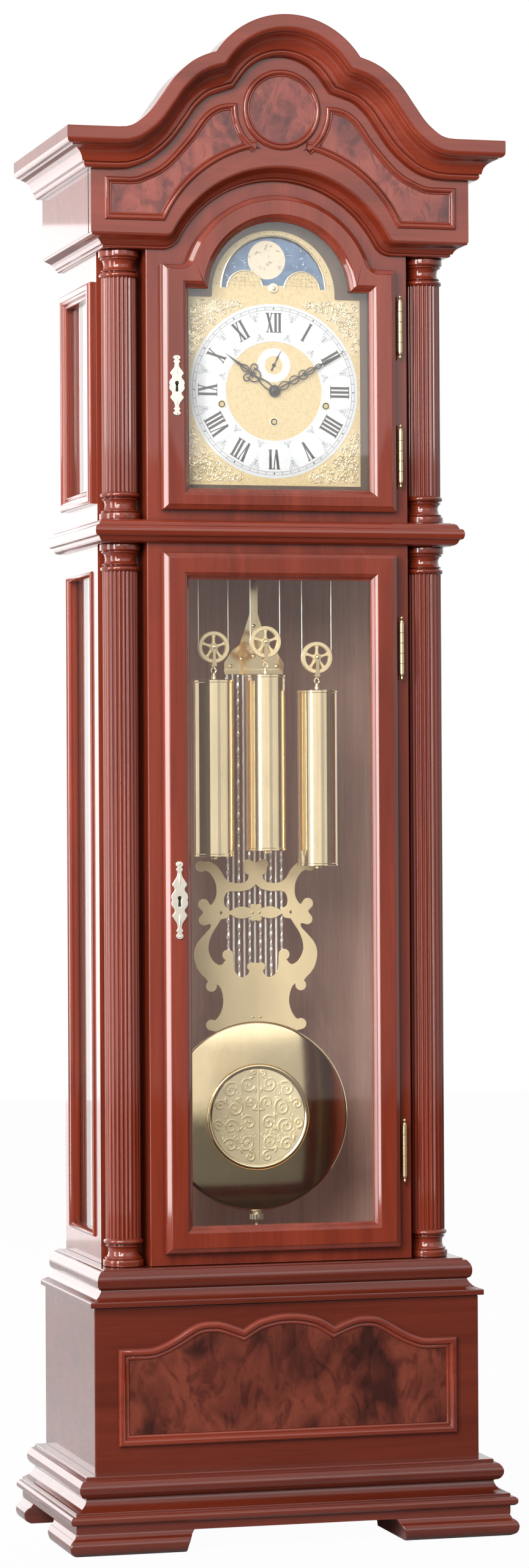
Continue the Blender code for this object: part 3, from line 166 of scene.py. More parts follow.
def pour(bm, other):
    mesh = bpy.data.meshes.new("pour")
    other.to_mesh(mesh)
    other.free()
    bm.from_mesh(mesh)
    bpy.data.meshes.remove(mesh)


def sawn(bm, loops, front, rear, edge=0.0, soft=2):  # a board in the XZ plane; loops after the first are holes
    steps = [(0.0, front), (0.0, rear)]
    if edge:
        eased = [(edge * (1 - math.sin(t)), front + edge * (1 - math.cos(t)))
                 for t in [math.pi / 2 * i / soft for i in range(soft + 1)]]
        steps = eased + [(a, front + rear - y) for a, y in reversed(eased)]
    spots, faces, near, far = [], [], [], []
    for number, loop in enumerate(loops):
        area = sum(a[0] * b[1] - b[0] * a[1] for a, b in zip(loop, loop[1:] + loop[:1]))
        if (area > 0) == (number > 0):
            loop = loop[::-1]
        normals = inwards(loop)
        rows = [[bm.verts.new((x + n.x * a, y, z + n.y * a)) for (x, z), n in zip(loop, normals)] for a, y in steps]
        for low, high in zip(rows, rows[1:]):
            for i in range(len(loop)):
                j = (i + 1) % len(loop)
                bm.faces.new((low[i], low[j], high[j], high[i]))
        faces.append(list(range(len(spots), len(spots) + len(loop))))
        spots += [Vector((v.co.x, v.co.z)) for v in rows[0]]
        near += rows[0]
        far += rows[-1]
    filled = geometry.delaunay_2d_cdt(spots, [], faces, 2, 1e-8)
    origin = [ids[0] if ids else -1 for ids in filled[3]]
    for triangle in filled[2]:
        ids = [origin[i] for i in triangle]
        if -1 not in ids and len(set(ids)) == 3:
            bm.faces.new([near[i] for i in ids])
            bm.faces.new([far[i] for i in reversed(ids)])


def block(bm, low, high, edge=0.0015, soft=2):  # a planed board with eased edges
    part = bmesh.new()
    bmesh.ops.create_cube(part, size=1.0)
    size = [b - a for a, b in zip(low, high)]
    for v in part.verts:
        v.co = Vector((low[i] + size[i] * (v.co[i] + 0.5) for i in range(3)))
    if edge:
        bmesh.ops.bevel(part, geom=part.edges[:], offset=edge, segments=soft, profile=0.5, affect="EDGES")
    pour(bm, part)


def wire(bm, points, radius, sides=6, flat=1.0, taper=None):  # a rod along points; flat squeezes it front to back
    spots = [Vector(p) for p in points]
    rings = []
    side = None
    for i, spot in enumerate(spots):
        along = (spots[min(i + 1, len(spots) - 1)] - spots[max(i - 1, 0)]).normalized()
        if side is None:
            side = along.orthogonal().normalized()
        side = (side - along * side.dot(along)).normalized()
        other = along.cross(side)
        r = radius * (taper(i / (len(spots) - 1)) if taper else 1.0)
        ring = []
        for k in range(sides):
            t = math.tau * k / sides
            off = side * (math.cos(t) * r) + other * (math.sin(t) * r)
            off.y *= flat
            ring.append(spot + off)
        rings.append(ring)
    skin(bm, rings)


def scroll(centre, radius, start, turns, face, count=22, shrink=0.82):  # a curl that winds in to its eye
    points = []
    for i in range(count):
        t = i / (count - 1)
        r = radius * (1 - shrink * t)
        a = math.radians(start) + math.tau * turns * t
        points.append((centre[0] + r * math.cos(a), face, centre[1] + r * math.sin(a)))
    return points


def evenShade(mesh, angle):  # corner normals weighed by area, so that flats stay flat beside their eased edges
    corners, faces = len(mesh.loops), len(mesh.polygons)
    spot, sides = numpy.empty(corners, int), numpy.empty(faces, int)
    normal, area = numpy.empty(faces * 3), numpy.empty(faces)
    mesh.loops.foreach_get("vertex_index", spot)
    mesh.polygons.foreach_get("loop_total", sides)
    mesh.polygons.foreach_get("normal", normal)
    mesh.polygons.foreach_get("area", area)
    normal = normal.reshape(-1, 3)
    owner = numpy.repeat(numpy.arange(faces), sides)
    order = numpy.argsort(spot, kind="stable")
    many = numpy.bincount(spot, minlength=len(mesh.vertices))[spot[order]]
    first = numpy.repeat(numpy.searchsorted(spot[order], spot[order]), many)
    step = numpy.arange(many.sum()) - numpy.repeat(numpy.cumsum(many) - many, many)
    own, other = numpy.repeat(order, many), order[first + step]
    mine, theirs = normal[owner[own]], normal[owner[other]]
    near = (mine * theirs).sum(1) > math.cos(math.radians(angle))
    total = normal[owner] * 1e-12
    numpy.add.at(total, own[near], theirs[near] * area[owner[other[near]], None])
    total /= numpy.maximum(numpy.linalg.norm(total, axis=1, keepdims=True), 1e-20)
    mesh.normals_split_custom_set(total.tolist())


def keep(name, bm, finish, body, hides=(), angle=34):
    bmesh.ops.recalc_face_normals(bm, faces=bm.faces)
    mesh = bpy.data.meshes.new(name)
    bm.to_mesh(mesh)
    bm.free()
    mesh.shade_smooth()
    mesh.set_sharp_from_angle(angle=math.radians(angle))
    evenShade(mesh, angle)
    for each in finish if isinstance(finish, (list, tuple)) else [finish]:
        mesh.materials.append(each)
    piece = bpy.data.objects.new(name, mesh)
    scene.collection.objects.link(piece)
    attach(piece, body)
    if hides:
        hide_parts(*hides)
    return piece


# finishes

socketNames = {"colour": "Base Color", "rough": "Roughness", "metal": "Metallic", "coat": "Coat Weight",
               "coatRough": "Coat Roughness", "spec": "Specular IOR Level"}


def newFinish(name, **values):
    finish = bpy.data.materials.new(name)
    finish.use_nodes = True
    shader = finish.node_tree.nodes["Principled BSDF"]
    for key, value in values.items():
        shader.inputs[socketNames[key]].default_value = (*value, 1.0) if key == "colour" else value
    return finish, finish.node_tree, shader


def addNode(tree, kind, sockets=None, **settings):
    made = tree.nodes.new("ShaderNode" + kind)
    for key, value in settings.items():
        setattr(made, key, value)
    for key, value in (sockets or {}).items():
        made.inputs[key].default_value = value
    return made


def noiseAt(tree, stretch, detail=4.0, rough=0.55, distort=0.0, shift=(0.0, 0.0, 0.0)):
    place = addNode(tree, "TexCoord")
    spread = addNode(tree, "Mapping", {"Scale": stretch, "Location": shift})
    noise = addNode(tree, "TexNoise", {"Scale": 1.0, "Detail": detail, "Roughness": rough, "Distortion": distort})
    tree.links.new(place.outputs["Object"], spread.inputs["Vector"])
    tree.links.new(spread.outputs["Vector"], noise.inputs["Vector"])
    return noise.outputs[0]


def ramp(tree, factor, stops):
    made = addNode(tree, "ValToRGB")
    points = made.color_ramp.elements
    points[0].position, points[1].position = stops[0][0], stops[-1][0]
    points[0].color, points[1].color = (*stops[0][1], 1.0), (*stops[-1][1], 1.0)
    for place, colour in stops[1:-1]:
        points.new(place).color = (*colour, 1.0)
    tree.links.new(factor, made.inputs[0])
    return made.outputs[0]


def blendOver(tree, under, over, share, how="MULTIPLY"):
    mix = addNode(tree, "Mix", data_type="RGBA", blend_type=how)
    if isinstance(share, float):
        mix.inputs[0].default_value = share
    else:
        tree.links.new(share, mix.inputs[0])
    tree.links.new(under, mix.inputs[6])
    tree.links.new(over, mix.inputs[7])
    return mix.outputs[2]


def between(tree, factor, low, high):
    spread = addNode(tree, "MapRange", {"To Min": low, "To Max": high})
    tree.links.new(factor, spread.inputs["Value"])
    return spread.outputs[0]


def roughen(tree, shader, factor, strength, distance):
    bump = addNode(tree, "Bump", {"Strength": strength, "Distance": distance})
    tree.links.new(factor, bump.inputs["Height"])
    tree.links.new(bump.outputs[0], shader.inputs["Normal"])


def grey(value):
    return (value, value, value)


woodTones = {"deep": (0.145, 0.0188, 0.0072), "mid": (0.197, 0.0265, 0.0105), "light": (0.250, 0.0370, 0.0160)}


def woodFinish(name, grain, shift=0.0, tones=woodTones, gloss=1.0):
    finish, tree, shader = newFinish(name, coat=gloss, coatRough=0.045, spec=0.1)
    axis = "xyz".index(grain)
    where = (shift, shift * 1.7, shift * 0.6)

    def stretched(across, along):
        return tuple(along if i == axis else across for i in range(3))

    figure = noiseAt(tree, stretched(24, 1.5), 4, 0.5, 0.7, where)
    lines = noiseAt(tree, stretched(230, 6.5), 5, 0.62, 0.25, where)
    pores = noiseAt(tree, stretched(900, 32), 2, 0.5, 0.0, where)
    smoke = noiseAt(tree, stretched(9, 3.2), 3, 0.55, 1.1, where)
    colour = ramp(tree, figure, ((0.30, tones["deep"]), (0.50, tones["mid"]), (0.74, tones["light"])))
    colour = blendOver(tree, colour, ramp(tree, lines, ((0.34, (0.66, 0.62, 0.60)), (0.60, grey(1.0)))), 0.30)
    colour = blendOver(tree, colour, ramp(tree, pores, ((0.36, grey(0.62)), (0.47, grey(1.0)))), 0.20)
    colour = blendOver(tree, colour, ramp(tree, smoke, ((0.27, (0.50, 0.46, 0.46)), (0.42, grey(1.0)))), 0.45)
    creaseShade = addNode(tree, "AmbientOcclusion", {"Distance": 0.011}, samples=5)  # painted shade: ambient occlusion darkens the colour in quirks, corners and joints
    colour = blendOver(tree, colour, ramp(tree, creaseShade.outputs["AO"], ((0.25, (0.46, 0.40, 0.38)), (0.75, grey(1.0)))), 0.7)
    tree.links.new(colour, shader.inputs["Base Color"])
    tree.links.new(between(tree, lines, 0.22, 0.36), shader.inputs["Roughness"])
    roughen(tree, shader, lines, 0.05, 0.0006)
    return finish


def burlFinish(name, scale, tones, shift=0.0):  # veneer with broad smoky clouds, flames and fine specks
    finish, tree, shader = newFinish(name, coat=1.0, coatRough=0.045, spec=0.1)
    where = (shift, 0.0, shift * 0.4)
    clouds = noiseAt(tree, (scale * 1.3, scale, scale * 0.8), 3, 0.5, 1.3, where)
    flame = noiseAt(tree, (scale * 2.6, scale, scale * 1.5), 4, 0.55, 2.2, where)
    wisps = noiseAt(tree, (scale * 6.0, scale, scale * 2.4), 5, 0.6, 1.2, where)
    specks = noiseAt(tree, (420, 420, 260), 3, 0.6, 0.4, where)
    colour = ramp(tree, clouds, ((0.36, tones["dark"]), (0.47, tones["mid"]), (0.62, tones["light"]), (0.80, tones["mid"])))
    colour = blendOver(tree, colour, ramp(tree, flame, ((0.40, (0.46, 0.42, 0.46)), (0.50, grey(1.0)))), 0.70)
    colour = blendOver(tree, colour, ramp(tree, wisps, ((0.34, (0.45, 0.42, 0.44)), (0.43, grey(1.0)))), 0.55)
    colour = blendOver(tree, colour, ramp(tree, specks, ((0.30, grey(0.75)), (0.55, grey(1.0)))), 0.3)
    tree.links.new(colour, shader.inputs["Base Color"])
    tree.links.new(between(tree, flame, 0.20, 0.34), shader.inputs["Roughness"])
    roughen(tree, shader, specks, 0.03, 0.0004)
    return finish


def metalFinish(name, colour, rough, drawn=(60, 60, 900), spread=0.10, metal=1.0, bump=0.02):
    finish, tree, shader = newFinish(name, metal=metal, spec=0.5)
    fine = noiseAt(tree, drawn, 3, 0.5, 0.0)
    broad = noiseAt(tree, (22, 22, 14), 3, 0.5, 0.4)
    tone = ramp(tree, broad, ((0.25, tuple(c * 0.90 for c in colour)), (0.70, colour)))
    tree.links.new(tone, shader.inputs["Base Color"])
    tree.links.new(between(tree, fine, rough, rough + spread), shader.inputs["Roughness"])
    roughen(tree, shader, fine, bump, 0.0003)
    return finish


def paintFinish(name, dark, light, scale, rough, metal=0.0, bump=0.05, where=(0.32, 0.66)):
    finish, tree, shader = newFinish(name, metal=metal, spec=0.4)
    mottle = noiseAt(tree, (scale, scale, scale), 5, 0.6, 0.3)
    tree.links.new(ramp(tree, mottle, ((where[0], dark), (where[1], light))), shader.inputs["Base Color"])
    tree.links.new(between(tree, mottle, rough, rough + 0.12), shader.inputs["Roughness"])
    roughen(tree, shader, mottle, bump, 0.0004)
    return finish


def paneFinish(name):  # a thin pane: clear straight on, bright at a glancing angle
    finish = bpy.data.materials.new(name)
    finish.use_nodes = True
    tree = finish.node_tree
    tree.nodes.remove(tree.nodes["Principled BSDF"])
    facing = addNode(tree, "LayerWeight", {"Blend": 0.5})
    steep = addNode(tree, "Math", {1: 4.6}, operation="POWER")
    share = addNode(tree, "MapRange", {"To Min": 0.045, "To Max": 0.85})
    clear = addNode(tree, "BsdfTransparent", {"Color": (0.985, 0.990, 0.987, 1.0)})
    shine = addNode(tree, "BsdfGlossy", {"Roughness": 0.02, "Color": (1.0, 1.0, 1.0, 1.0)})
    mix = addNode(tree, "MixShader")
    tree.links.new(facing.outputs["Facing"], steep.inputs[0])
    tree.links.new(steep.outputs[0], share.inputs["Value"])
    tree.links.new(share.outputs[0], mix.inputs[0])
    tree.links.new(clear.outputs[0], mix.inputs[1])
    tree.links.new(shine.outputs[0], mix.inputs[2])
    tree.links.new(mix.outputs[0], tree.nodes["Material Output"].inputs["Surface"])
    return finish


def mattedFinish(name, dark, light, metal, rough):  # stippled gilding with faint leafwork in it
    finish, tree, shader = newFinish(name, metal=metal, spec=0.5)
    stipple = noiseAt(tree, (900, 900, 900), 2, 0.5, 0.0)
    leafwork = noiseAt(tree, (95, 95, 95), 2, 0.45, 3.4)
    tree.links.new(ramp(tree, leafwork, ((0.40, dark), (0.52, light))), shader.inputs["Base Color"])
    tree.links.new(between(tree, stipple, rough, rough + 0.15), shader.inputs["Roughness"])
    roughen(tree, shader, leafwork, 0.35, 0.0006)
    return finish


mahogany = woodFinish("mahogany upright", "z")
mahoganyAcross = woodFinish("mahogany across", "x", 3.1)
mahoganySide = woodFinish("mahogany side", "z", 6.4)
# a darker copy of the mahogany for the feet, plinth, base box and cap: painted shade for the light falling off towards
# the floor
mahoganyBaseShaded = woodFinish("mahogany base", "x", 7.7, {"deep": (0.092, 0.0122, 0.0048), "mid": (0.124, 0.0175, 0.0074),
                                                      "light": (0.162, 0.0255, 0.0115)})
pedimentBurl = burlFinish("pediment burl", 14, {"dark": (0.12, 0.022, 0.018), "mid": (0.215, 0.042, 0.030),
                                                "light": (0.285, 0.062, 0.040)}, 2.2)
baseBurl = burlFinish("base burl", 9, {"dark": (0.040, 0.0085, 0.0055), "mid": (0.115, 0.0235, 0.0135),
                                        "light": (0.185, 0.040, 0.022)}, 5.1)
# a pale tone for the back panel and seat board: painted light standing in for light that hardly reaches inside the case
liningLightened = woodFinish("case lining", "z", 8.2, {"deep": (0.445, 0.262, 0.206), "mid": (0.498, 0.302, 0.240),
                                              "light": (0.550, 0.342, 0.274)}, 0.1)
# a dark copy of the case wood for the sunk dial surround and the frame's reveals: painted shade
recessShaded = woodFinish("recess wood", "z", 4.4, {"deep": (0.120, 0.080, 0.056), "mid": (0.150, 0.102, 0.074),
                                              "light": (0.180, 0.125, 0.092)}, 0.1)
polishedBrass = metalFinish("polished brass", (0.97, 0.78, 0.50), 0.09, (500, 500, 26), 0.06, 0.85)
pulleyBrass = metalFinish("pulley brass", (0.93, 0.74, 0.44), 0.38, (420, 420, 420), 0.12, 0.45, 0.06)
medallionBrass = metalFinish("medallion brass", (1.0, 0.84, 0.54), 0.34, (380, 380, 380), 0.12, 0.25, 0.06)
spunBrass = metalFinish("spun brass", (0.96, 0.76, 0.47), 0.10, (160, 160, 160), 0.08)
satinBrass = metalFinish("satin brass", (0.98, 0.77, 0.45), 0.42, (700, 60, 700), 0.10, 0.25)
plateBrass = metalFinish("key plate brass", (0.90, 0.82, 0.70), 0.34, (300, 300, 300), 0.10)
hingeBrass = metalFinish("hinge brass", (0.60, 0.46, 0.26), 0.30, (300, 300, 300), 0.12)
castBrass = metalFinish("cast brass", (0.86, 0.76, 0.55), 0.24, (300, 300, 300), 0.12)
bellBrass = metalFinish("movement brass", (0.72, 0.55, 0.28), 0.30, (300, 60, 300), 0.12)
rodSteel = metalFinish("bright rod steel", (0.93, 0.89, 0.82), 0.26, (400, 400, 40), 0.10, 0.6)
cableSteel = metalFinish("cable", (0.80, 0.74, 0.62), 0.30, (2600, 2600, 1500), 0.10, 1.0, 0.3)
handSteel = paintFinish("blackened hand steel", (0.034, 0.027, 0.024), (0.056, 0.046, 0.041), 420, 0.34, 0.3)
silvering = paintFinish("silvered ring", (0.70, 0.70, 0.71), (0.78, 0.78, 0.79), 260, 0.34, 0.15, 0.03)
enamelWhite = paintFinish("white cartouche", (0.80, 0.80, 0.81), (0.87, 0.87, 0.88), 300, 0.30, 0.0, 0.02)
numeralInk = paintFinish("numeral ink", (0.055, 0.046, 0.041), (0.085, 0.072, 0.064), 600, 0.5, 0.0, 0.02)
ornamentInk = paintFinish("ornament ink", (0.20, 0.21, 0.22), (0.33, 0.34, 0.35), 700, 0.5, 0.0, 0.02)
dialGold = mattedFinish("matted dial gold", (0.70, 0.52, 0.26), (0.76, 0.59, 0.33), 0.20, 0.38)
spandrelGround = paintFinish("spandrel ground", (0.66, 0.51, 0.29), (0.86, 0.69, 0.43), 420, 0.5, 0.15, 0.2)
castGold = metalFinish("cast gold", (0.99, 0.86, 0.60), 0.22, (420, 420, 420), 0.14, 0.70, 0.12)
engraving = paintFinish("engraved line", (0.26, 0.20, 0.11), (0.36, 0.28, 0.16), 500, 0.5)
skyBlue = paintFinish("night sky", (0.085, 0.140, 0.250), (0.160, 0.235, 0.360), 60, 0.42)
moonCream = paintFinish("moon face", (0.36, 0.29, 0.23), (0.78, 0.66, 0.50), 130, 0.48, 0.0, 0.05, (0.34, 0.43))
starLight = paintFinish("star points", (0.62, 0.68, 0.70), (0.85, 0.86, 0.80), 300, 0.5)
# painted shade for the insides of the key and winding holes
holeShade = paintFinish("keyhole shade", (0.010, 0.008, 0.007), (0.020, 0.016, 0.013), 300, 0.7)
pane = paneFinish("clear pane")
print("finishes ready")


# camera, light and floor

view = {"place": (-1.5842, -5.870, 0.9991), "yaw": 0.2646, "pitch": 0.0075, "roll": -0.0054, "lens": 99.08}


def makeCamera():
    yaw, pitch, roll = view["yaw"], view["pitch"], view["roll"]
    ahead = Vector((math.sin(yaw) * math.cos(pitch), math.cos(yaw) * math.cos(pitch), math.sin(pitch)))
    level0 = Vector((math.cos(yaw), -math.sin(yaw), 0.0))
    upright = level0.cross(ahead)
    right = level0 * math.cos(roll) + upright * math.sin(roll)
    up = upright * math.cos(roll) - level0 * math.sin(roll)
    data = bpy.data.cameras.new("camera")
    data.lens = view["lens"]
    camera = bpy.data.objects.new("camera", data)
    camera.matrix_world = Matrix((right, up, -ahead)).transposed().to_4x4()
    camera.location = view["place"]
    scene.collection.objects.link(camera)
    scene.camera = camera


studio = {"ambient": 0.30, "lamps": {
    "key": {"place": (-2.7, -3.6, 3.7), "size": (2.4, 2.4), "power": 160, "aim": (0, 0, 1.9)},
    "front": {"place": (-2.5, -5.3, 2.9), "size": (2.0, 1.8), "power": 126, "aim": (0, 0, 2.0)},
    "strip": {"place": (-2.9, -2.7, 1.70), "size": (0.62, 3.2), "power": 82, "aim": (0, 0, 1.5)},
    "window": {"place": (-3.3, -0.5, 1.75), "size": (0.9, 3.3), "power": 70, "aim": (0, 0, 1.5)},
    "fill": {"place": (1.8, -6.0, 3.2), "size": (3.4, 2.4), "power": 30, "aim": (0, 0, 1.6)},
    "rim": {"place": (-1.7, 3.9, 1.05), "size": (2.8, 2.7), "power": 34, "aim": (-0.3, 0, 1.05)}}}


def makeLight(name, place, size, power, target):
    data = bpy.data.lights.new(name, "AREA")
    data.shape = "RECTANGLE"
    data.size, data.size_y = size
    data.energy = power
    lamp = bpy.data.objects.new(name, data)
    lamp.location = place
    lamp.rotation_mode = "QUATERNION"
    lamp.rotation_quaternion = (Vector(target) - Vector(place)).to_track_quat("-Z", "Y")
    scene.collection.objects.link(lamp)


def makeWorld():  # white for the camera, a soft studio dome for shine, plain grey for the rest
    world = bpy.data.worlds.new("studio")
    world.use_nodes = True
    scene.world = world
    tree = world.node_tree
    for old in list(tree.nodes):
        tree.nodes.remove(old)
    path = addNode(tree, "LightPath")
    place = addNode(tree, "TexCoord")
    lean = addNode(tree, "VectorMath", operation="DOT_PRODUCT")
    lean.inputs[1].default_value = (-0.30, 0.62, 0.75)
    tree.links.new(place.outputs["Generated"], lean.inputs[0])
    half = addNode(tree, "MapRange", {"From Min": -1.0, "From Max": 1.0})
    tree.links.new(lean.outputs["Value"], half.inputs["Value"])
    ahead = ramp(tree, half.outputs[0], ((0.10, grey(0.46)), (0.19, grey(0.56)), (0.23, grey(0.68)), (0.30, grey(0.95)),
                                         (0.52, grey(1.0))))
    apart = addNode(tree, "SeparateXYZ")
    tree.links.new(place.outputs["Generated"], apart.inputs[0])
    across = addNode(tree, "MapRange", {"From Min": -1.0, "From Max": 1.0})
    tree.links.new(apart.outputs["X"], across.inputs["Value"])
    panels = ramp(tree, across.outputs[0], ((0.545, grey(1.0)), (0.605, grey(0.0)), (0.66, grey(0.0)), (0.72, grey(0.85))))
    domeColour = blendOver(tree, ahead, panels, 1.0, "LIGHTEN")
    dome = addNode(tree, "Background")
    tree.links.new(domeColour, dome.inputs["Color"])
    soft = addNode(tree, "Background", {"Color": (*grey(studio["ambient"]), 1.0)})
    white = addNode(tree, "Background", {"Color": (1.0, 1.0, 1.0, 1.0)})
    shiny = addNode(tree, "Math", operation="MAXIMUM")
    tree.links.new(path.outputs["Is Glossy Ray"], shiny.inputs[0])
    tree.links.new(path.outputs["Is Transmission Ray"], shiny.inputs[1])
    first, second = addNode(tree, "MixShader"), addNode(tree, "MixShader")
    tree.links.new(shiny.outputs[0], first.inputs[0])
    tree.links.new(soft.outputs[0], first.inputs[1])
    tree.links.new(dome.outputs[0], first.inputs[2])
    tree.links.new(path.outputs["Is Camera Ray"], second.inputs[0])
    tree.links.new(first.outputs[0], second.inputs[1])
    tree.links.new(white.outputs[0], second.inputs[2])
    out = addNode(tree, "OutputWorld")
    tree.links.new(second.outputs[0], out.inputs["Surface"])


def makeFloor():
    finish = bpy.data.materials.new("pale floor")
    finish.use_nodes = True
    tree = finish.node_tree
    tree.nodes.remove(tree.nodes["Principled BSDF"])
    path = addNode(tree, "LightPath")
    share = addNode(tree, "Math", {1: 0.97}, operation="MULTIPLY")
    matt = addNode(tree, "BsdfDiffuse")
    place = addNode(tree, "TexCoord")
    apart = addNode(tree, "SeparateXYZ")
    # the floor's diffuse tone is darker towards the front: painted shade, seen mostly in reflections and bounce light
    depth = addNode(tree, "MapRange", {"From Min": -1.5, "From Max": 1.5})
    tree.links.new(place.outputs["Object"], apart.inputs[0])
    tree.links.new(apart.outputs["Y"], depth.inputs["Value"])
    tree.links.new(ramp(tree, depth.outputs[0], ((0.2, grey(0.13)), (0.8, grey(0.92)))), matt.inputs["Color"])
    glow = addNode(tree, "Emission", {"Color": (1.0, 1.0, 1.0, 1.0)})
    mix = addNode(tree, "MixShader")
    tree.links.new(path.outputs["Is Camera Ray"], share.inputs[0])
    tree.links.new(share.outputs[0], mix.inputs[0])
    tree.links.new(matt.outputs[0], mix.inputs[1])
    tree.links.new(glow.outputs[0], mix.inputs[2])
    tree.links.new(mix.outputs[0], tree.nodes["Material Output"].inputs["Surface"])
    bm = bmesh.new()
    bmesh.ops.create_grid(bm, x_segments=2, y_segments=2, size=9.0)
    mesh = bpy.data.meshes.new("floor")
    bm.to_mesh(mesh)
    bm.free()
    mesh.materials.append(finish)
    floor = bpy.data.objects.new("floor", mesh)
    scene.collection.objects.link(floor)


scene.view_settings.view_transform = "Standard"
makeCamera()
for lamp, set0 in studio["lamps"].items():
    makeLight(lamp + "Softbox", set0["place"], set0["size"], set0["power"], set0["aim"])
makeWorld()
makeFloor()
print("camera, light and floor ready")


# base: feet, box, plinth, cap and scalloped panel

foot = {"width": 0.155, "frontDepth": 0.135, "backDepth": 0.060, "flare": 0.012, "corner": 0.003,
        "outs": [(0.0356, 0.0), (0.0410, 0.0030), (0.0436, 0.0070), (0.0448, 0.0125), (0.0440, 0.0170),
                 (0.0412, 0.0210), (0.0372, 0.0235), (0.0356, 0.0262), (0.0345, 0.0280), (0.0340, 0.0297)]}


def easedPlan(corners, radius, z):
    count = len(corners)
    ring = []
    for i in range(count):
        here = Vector(corners[i])
        back, on = (Vector(corners[i - 1]) - here).normalized(), (Vector(corners[(i + 1) % count]) - here).normalized()
        a, b = here + back * radius, here + on * radius
        for t in (0.0, 0.33, 0.67, 1.0):
            p = a * (1 - t) ** 2 + here * (2 * t * (1 - t)) + b * t * t
            ring.append((p.x, p.y, z))
    return ring


def makeFeet():
    for side, sign in (("left", -1), ("right", 1)):
        for end in ("front", "back"):
            rings = []
            for out, z in flow(foot["outs"], 3):
                flare = foot["flare"] * (z / level["foot"]) ** 2
                outer = sign * (plan["baseHalf"] + out)
                inner = sign * (plan["baseHalf"] + foot["outs"][0][0] - foot["width"] - flare)
                if end == "front":
                    near = plan["baseFront"] - out
                    far = plan["baseFront"] - foot["outs"][0][0] + foot["frontDepth"] + flare
                else:
                    near, far = plan["back"] - foot["backDepth"] - flare, plan["back"]
                rings.append(easedPlan([(outer, near), (inner, near), (inner, far), (outer, far)],
                                       foot["corner"], z))
            bm = bmesh.new()
            skin(bm, rings)
            keep(f"foot.{end}.{side}", bm, mahoganyBaseShaded, "case", [f"foot_{end}_{side}"], 40)


plinth = {"runs": [[(gap, 0.0), (0.0336, 0.0)], [(0.0336, 0.0), (0.0342, 0.0008), (0.0342, 0.0112)],
                   [(0.0342, 0.0112), (0.0390, 0.0120), (0.0424, 0.0148), (0.0430, 0.0180), (0.0424, 0.0212),
                    (0.0390, 0.0238), (0.0348, 0.0243)],
                   [(0.0342, 0.0250), (0.0342, 0.0278), (0.0325, 0.0284)],
                   [(0.0310, 0.0286), (0.0240, 0.0318), (0.0192, 0.0362), (0.0166, 0.0410), (0.0159, 0.0440)],
                   [(0.0165, 0.0448), (0.0222, 0.0470), (0.0262, 0.0520), (0.0275, 0.0575), (0.0262, 0.0630),
                    (0.0222, 0.0680), (0.0170, 0.0700)],
                   [(0.0159, 0.0706), (0.0159, 0.0730), (0.0150, 0.0740)], [(gap, 0.0740)]]}


def profileOf(runs, steps=4):
    points = []
    for run in runs:
        points += flow(run, steps) if len(run) > 2 else run
    clean = [points[0]]
    for p in points[1:]:
        if math.dist(p, clean[-1]) > 1e-5:
            clean.append(p)
    return clean


baseCap = {"levels": [[(0.0056, 0.0), (0.0063, 0.0010), (0.0063, 0.0066), (0.0056, 0.0078)],
                      [(0.0020, 0.0084), (-0.0035, 0.0108), (-0.0085, 0.0152), (-0.0115, 0.0195), (-0.0123, 0.0218)],
                      [(-0.0116, 0.0226), (-0.0085, 0.0245), (-0.0067, 0.0290), (-0.0063, 0.0335),
                       (-0.0067, 0.0380), (-0.0085, 0.0425), (-0.0116, 0.0466)],
                      [(-0.0123, 0.0475), (-0.0150, 0.0480), (-0.0170, 0.0488), (-0.0173, 0.0502)]]}
basePanel = {"inSide": 0.0327, "low": 0.141, "flat": 0.274, "width": 0.0153,
             "bead": [[(0.0, gap), (0.0, 0.0024)], [(0.0, 0.0024), (0.0010, 0.0058), (0.0036, 0.0075)],
                      [(0.0060, 0.0076), (0.0078, 0.0070), (0.0092, 0.0052), (0.0100, 0.0036)],
                      [(0.0106, 0.0030), (0.0120, 0.0036), (0.0134, 0.0036), (0.0146, 0.0030)],
                      [(0.0153, 0.0020), (0.0153, gap)]]}


def scallopLoop():
    half, low, flat = plan["baseHalf"] - basePanel["inSide"], basePanel["low"], basePanel["flat"]
    hump, notch, apex = flat + 0.034, flat + 0.0217, flat + 0.0413
    right = [(half, low), (half, flat), (0.205, flat)]
    right += flow([(0.198, flat + 0.0003), (0.190, flat + 0.0015), (0.175, flat + 0.0072), (0.160, flat + 0.015),
                   (0.147, flat + 0.0228), (0.135, flat + 0.0295), (0.123, flat + 0.0332), (0.1117, hump)], 3)
    right += flow([(0.1000, hump - 0.0003), (0.088, hump - 0.0035), (0.076, hump - 0.0078), (0.065, notch)], 3)
    right += flow([(0.0555, notch + 0.0060), (0.045, notch + 0.0115), (0.034, apex - 0.0045), (0.022, apex - 0.0018),
                   (0.010, apex - 0.0003), (0.0, apex)], 3)
    return bothSides(right)


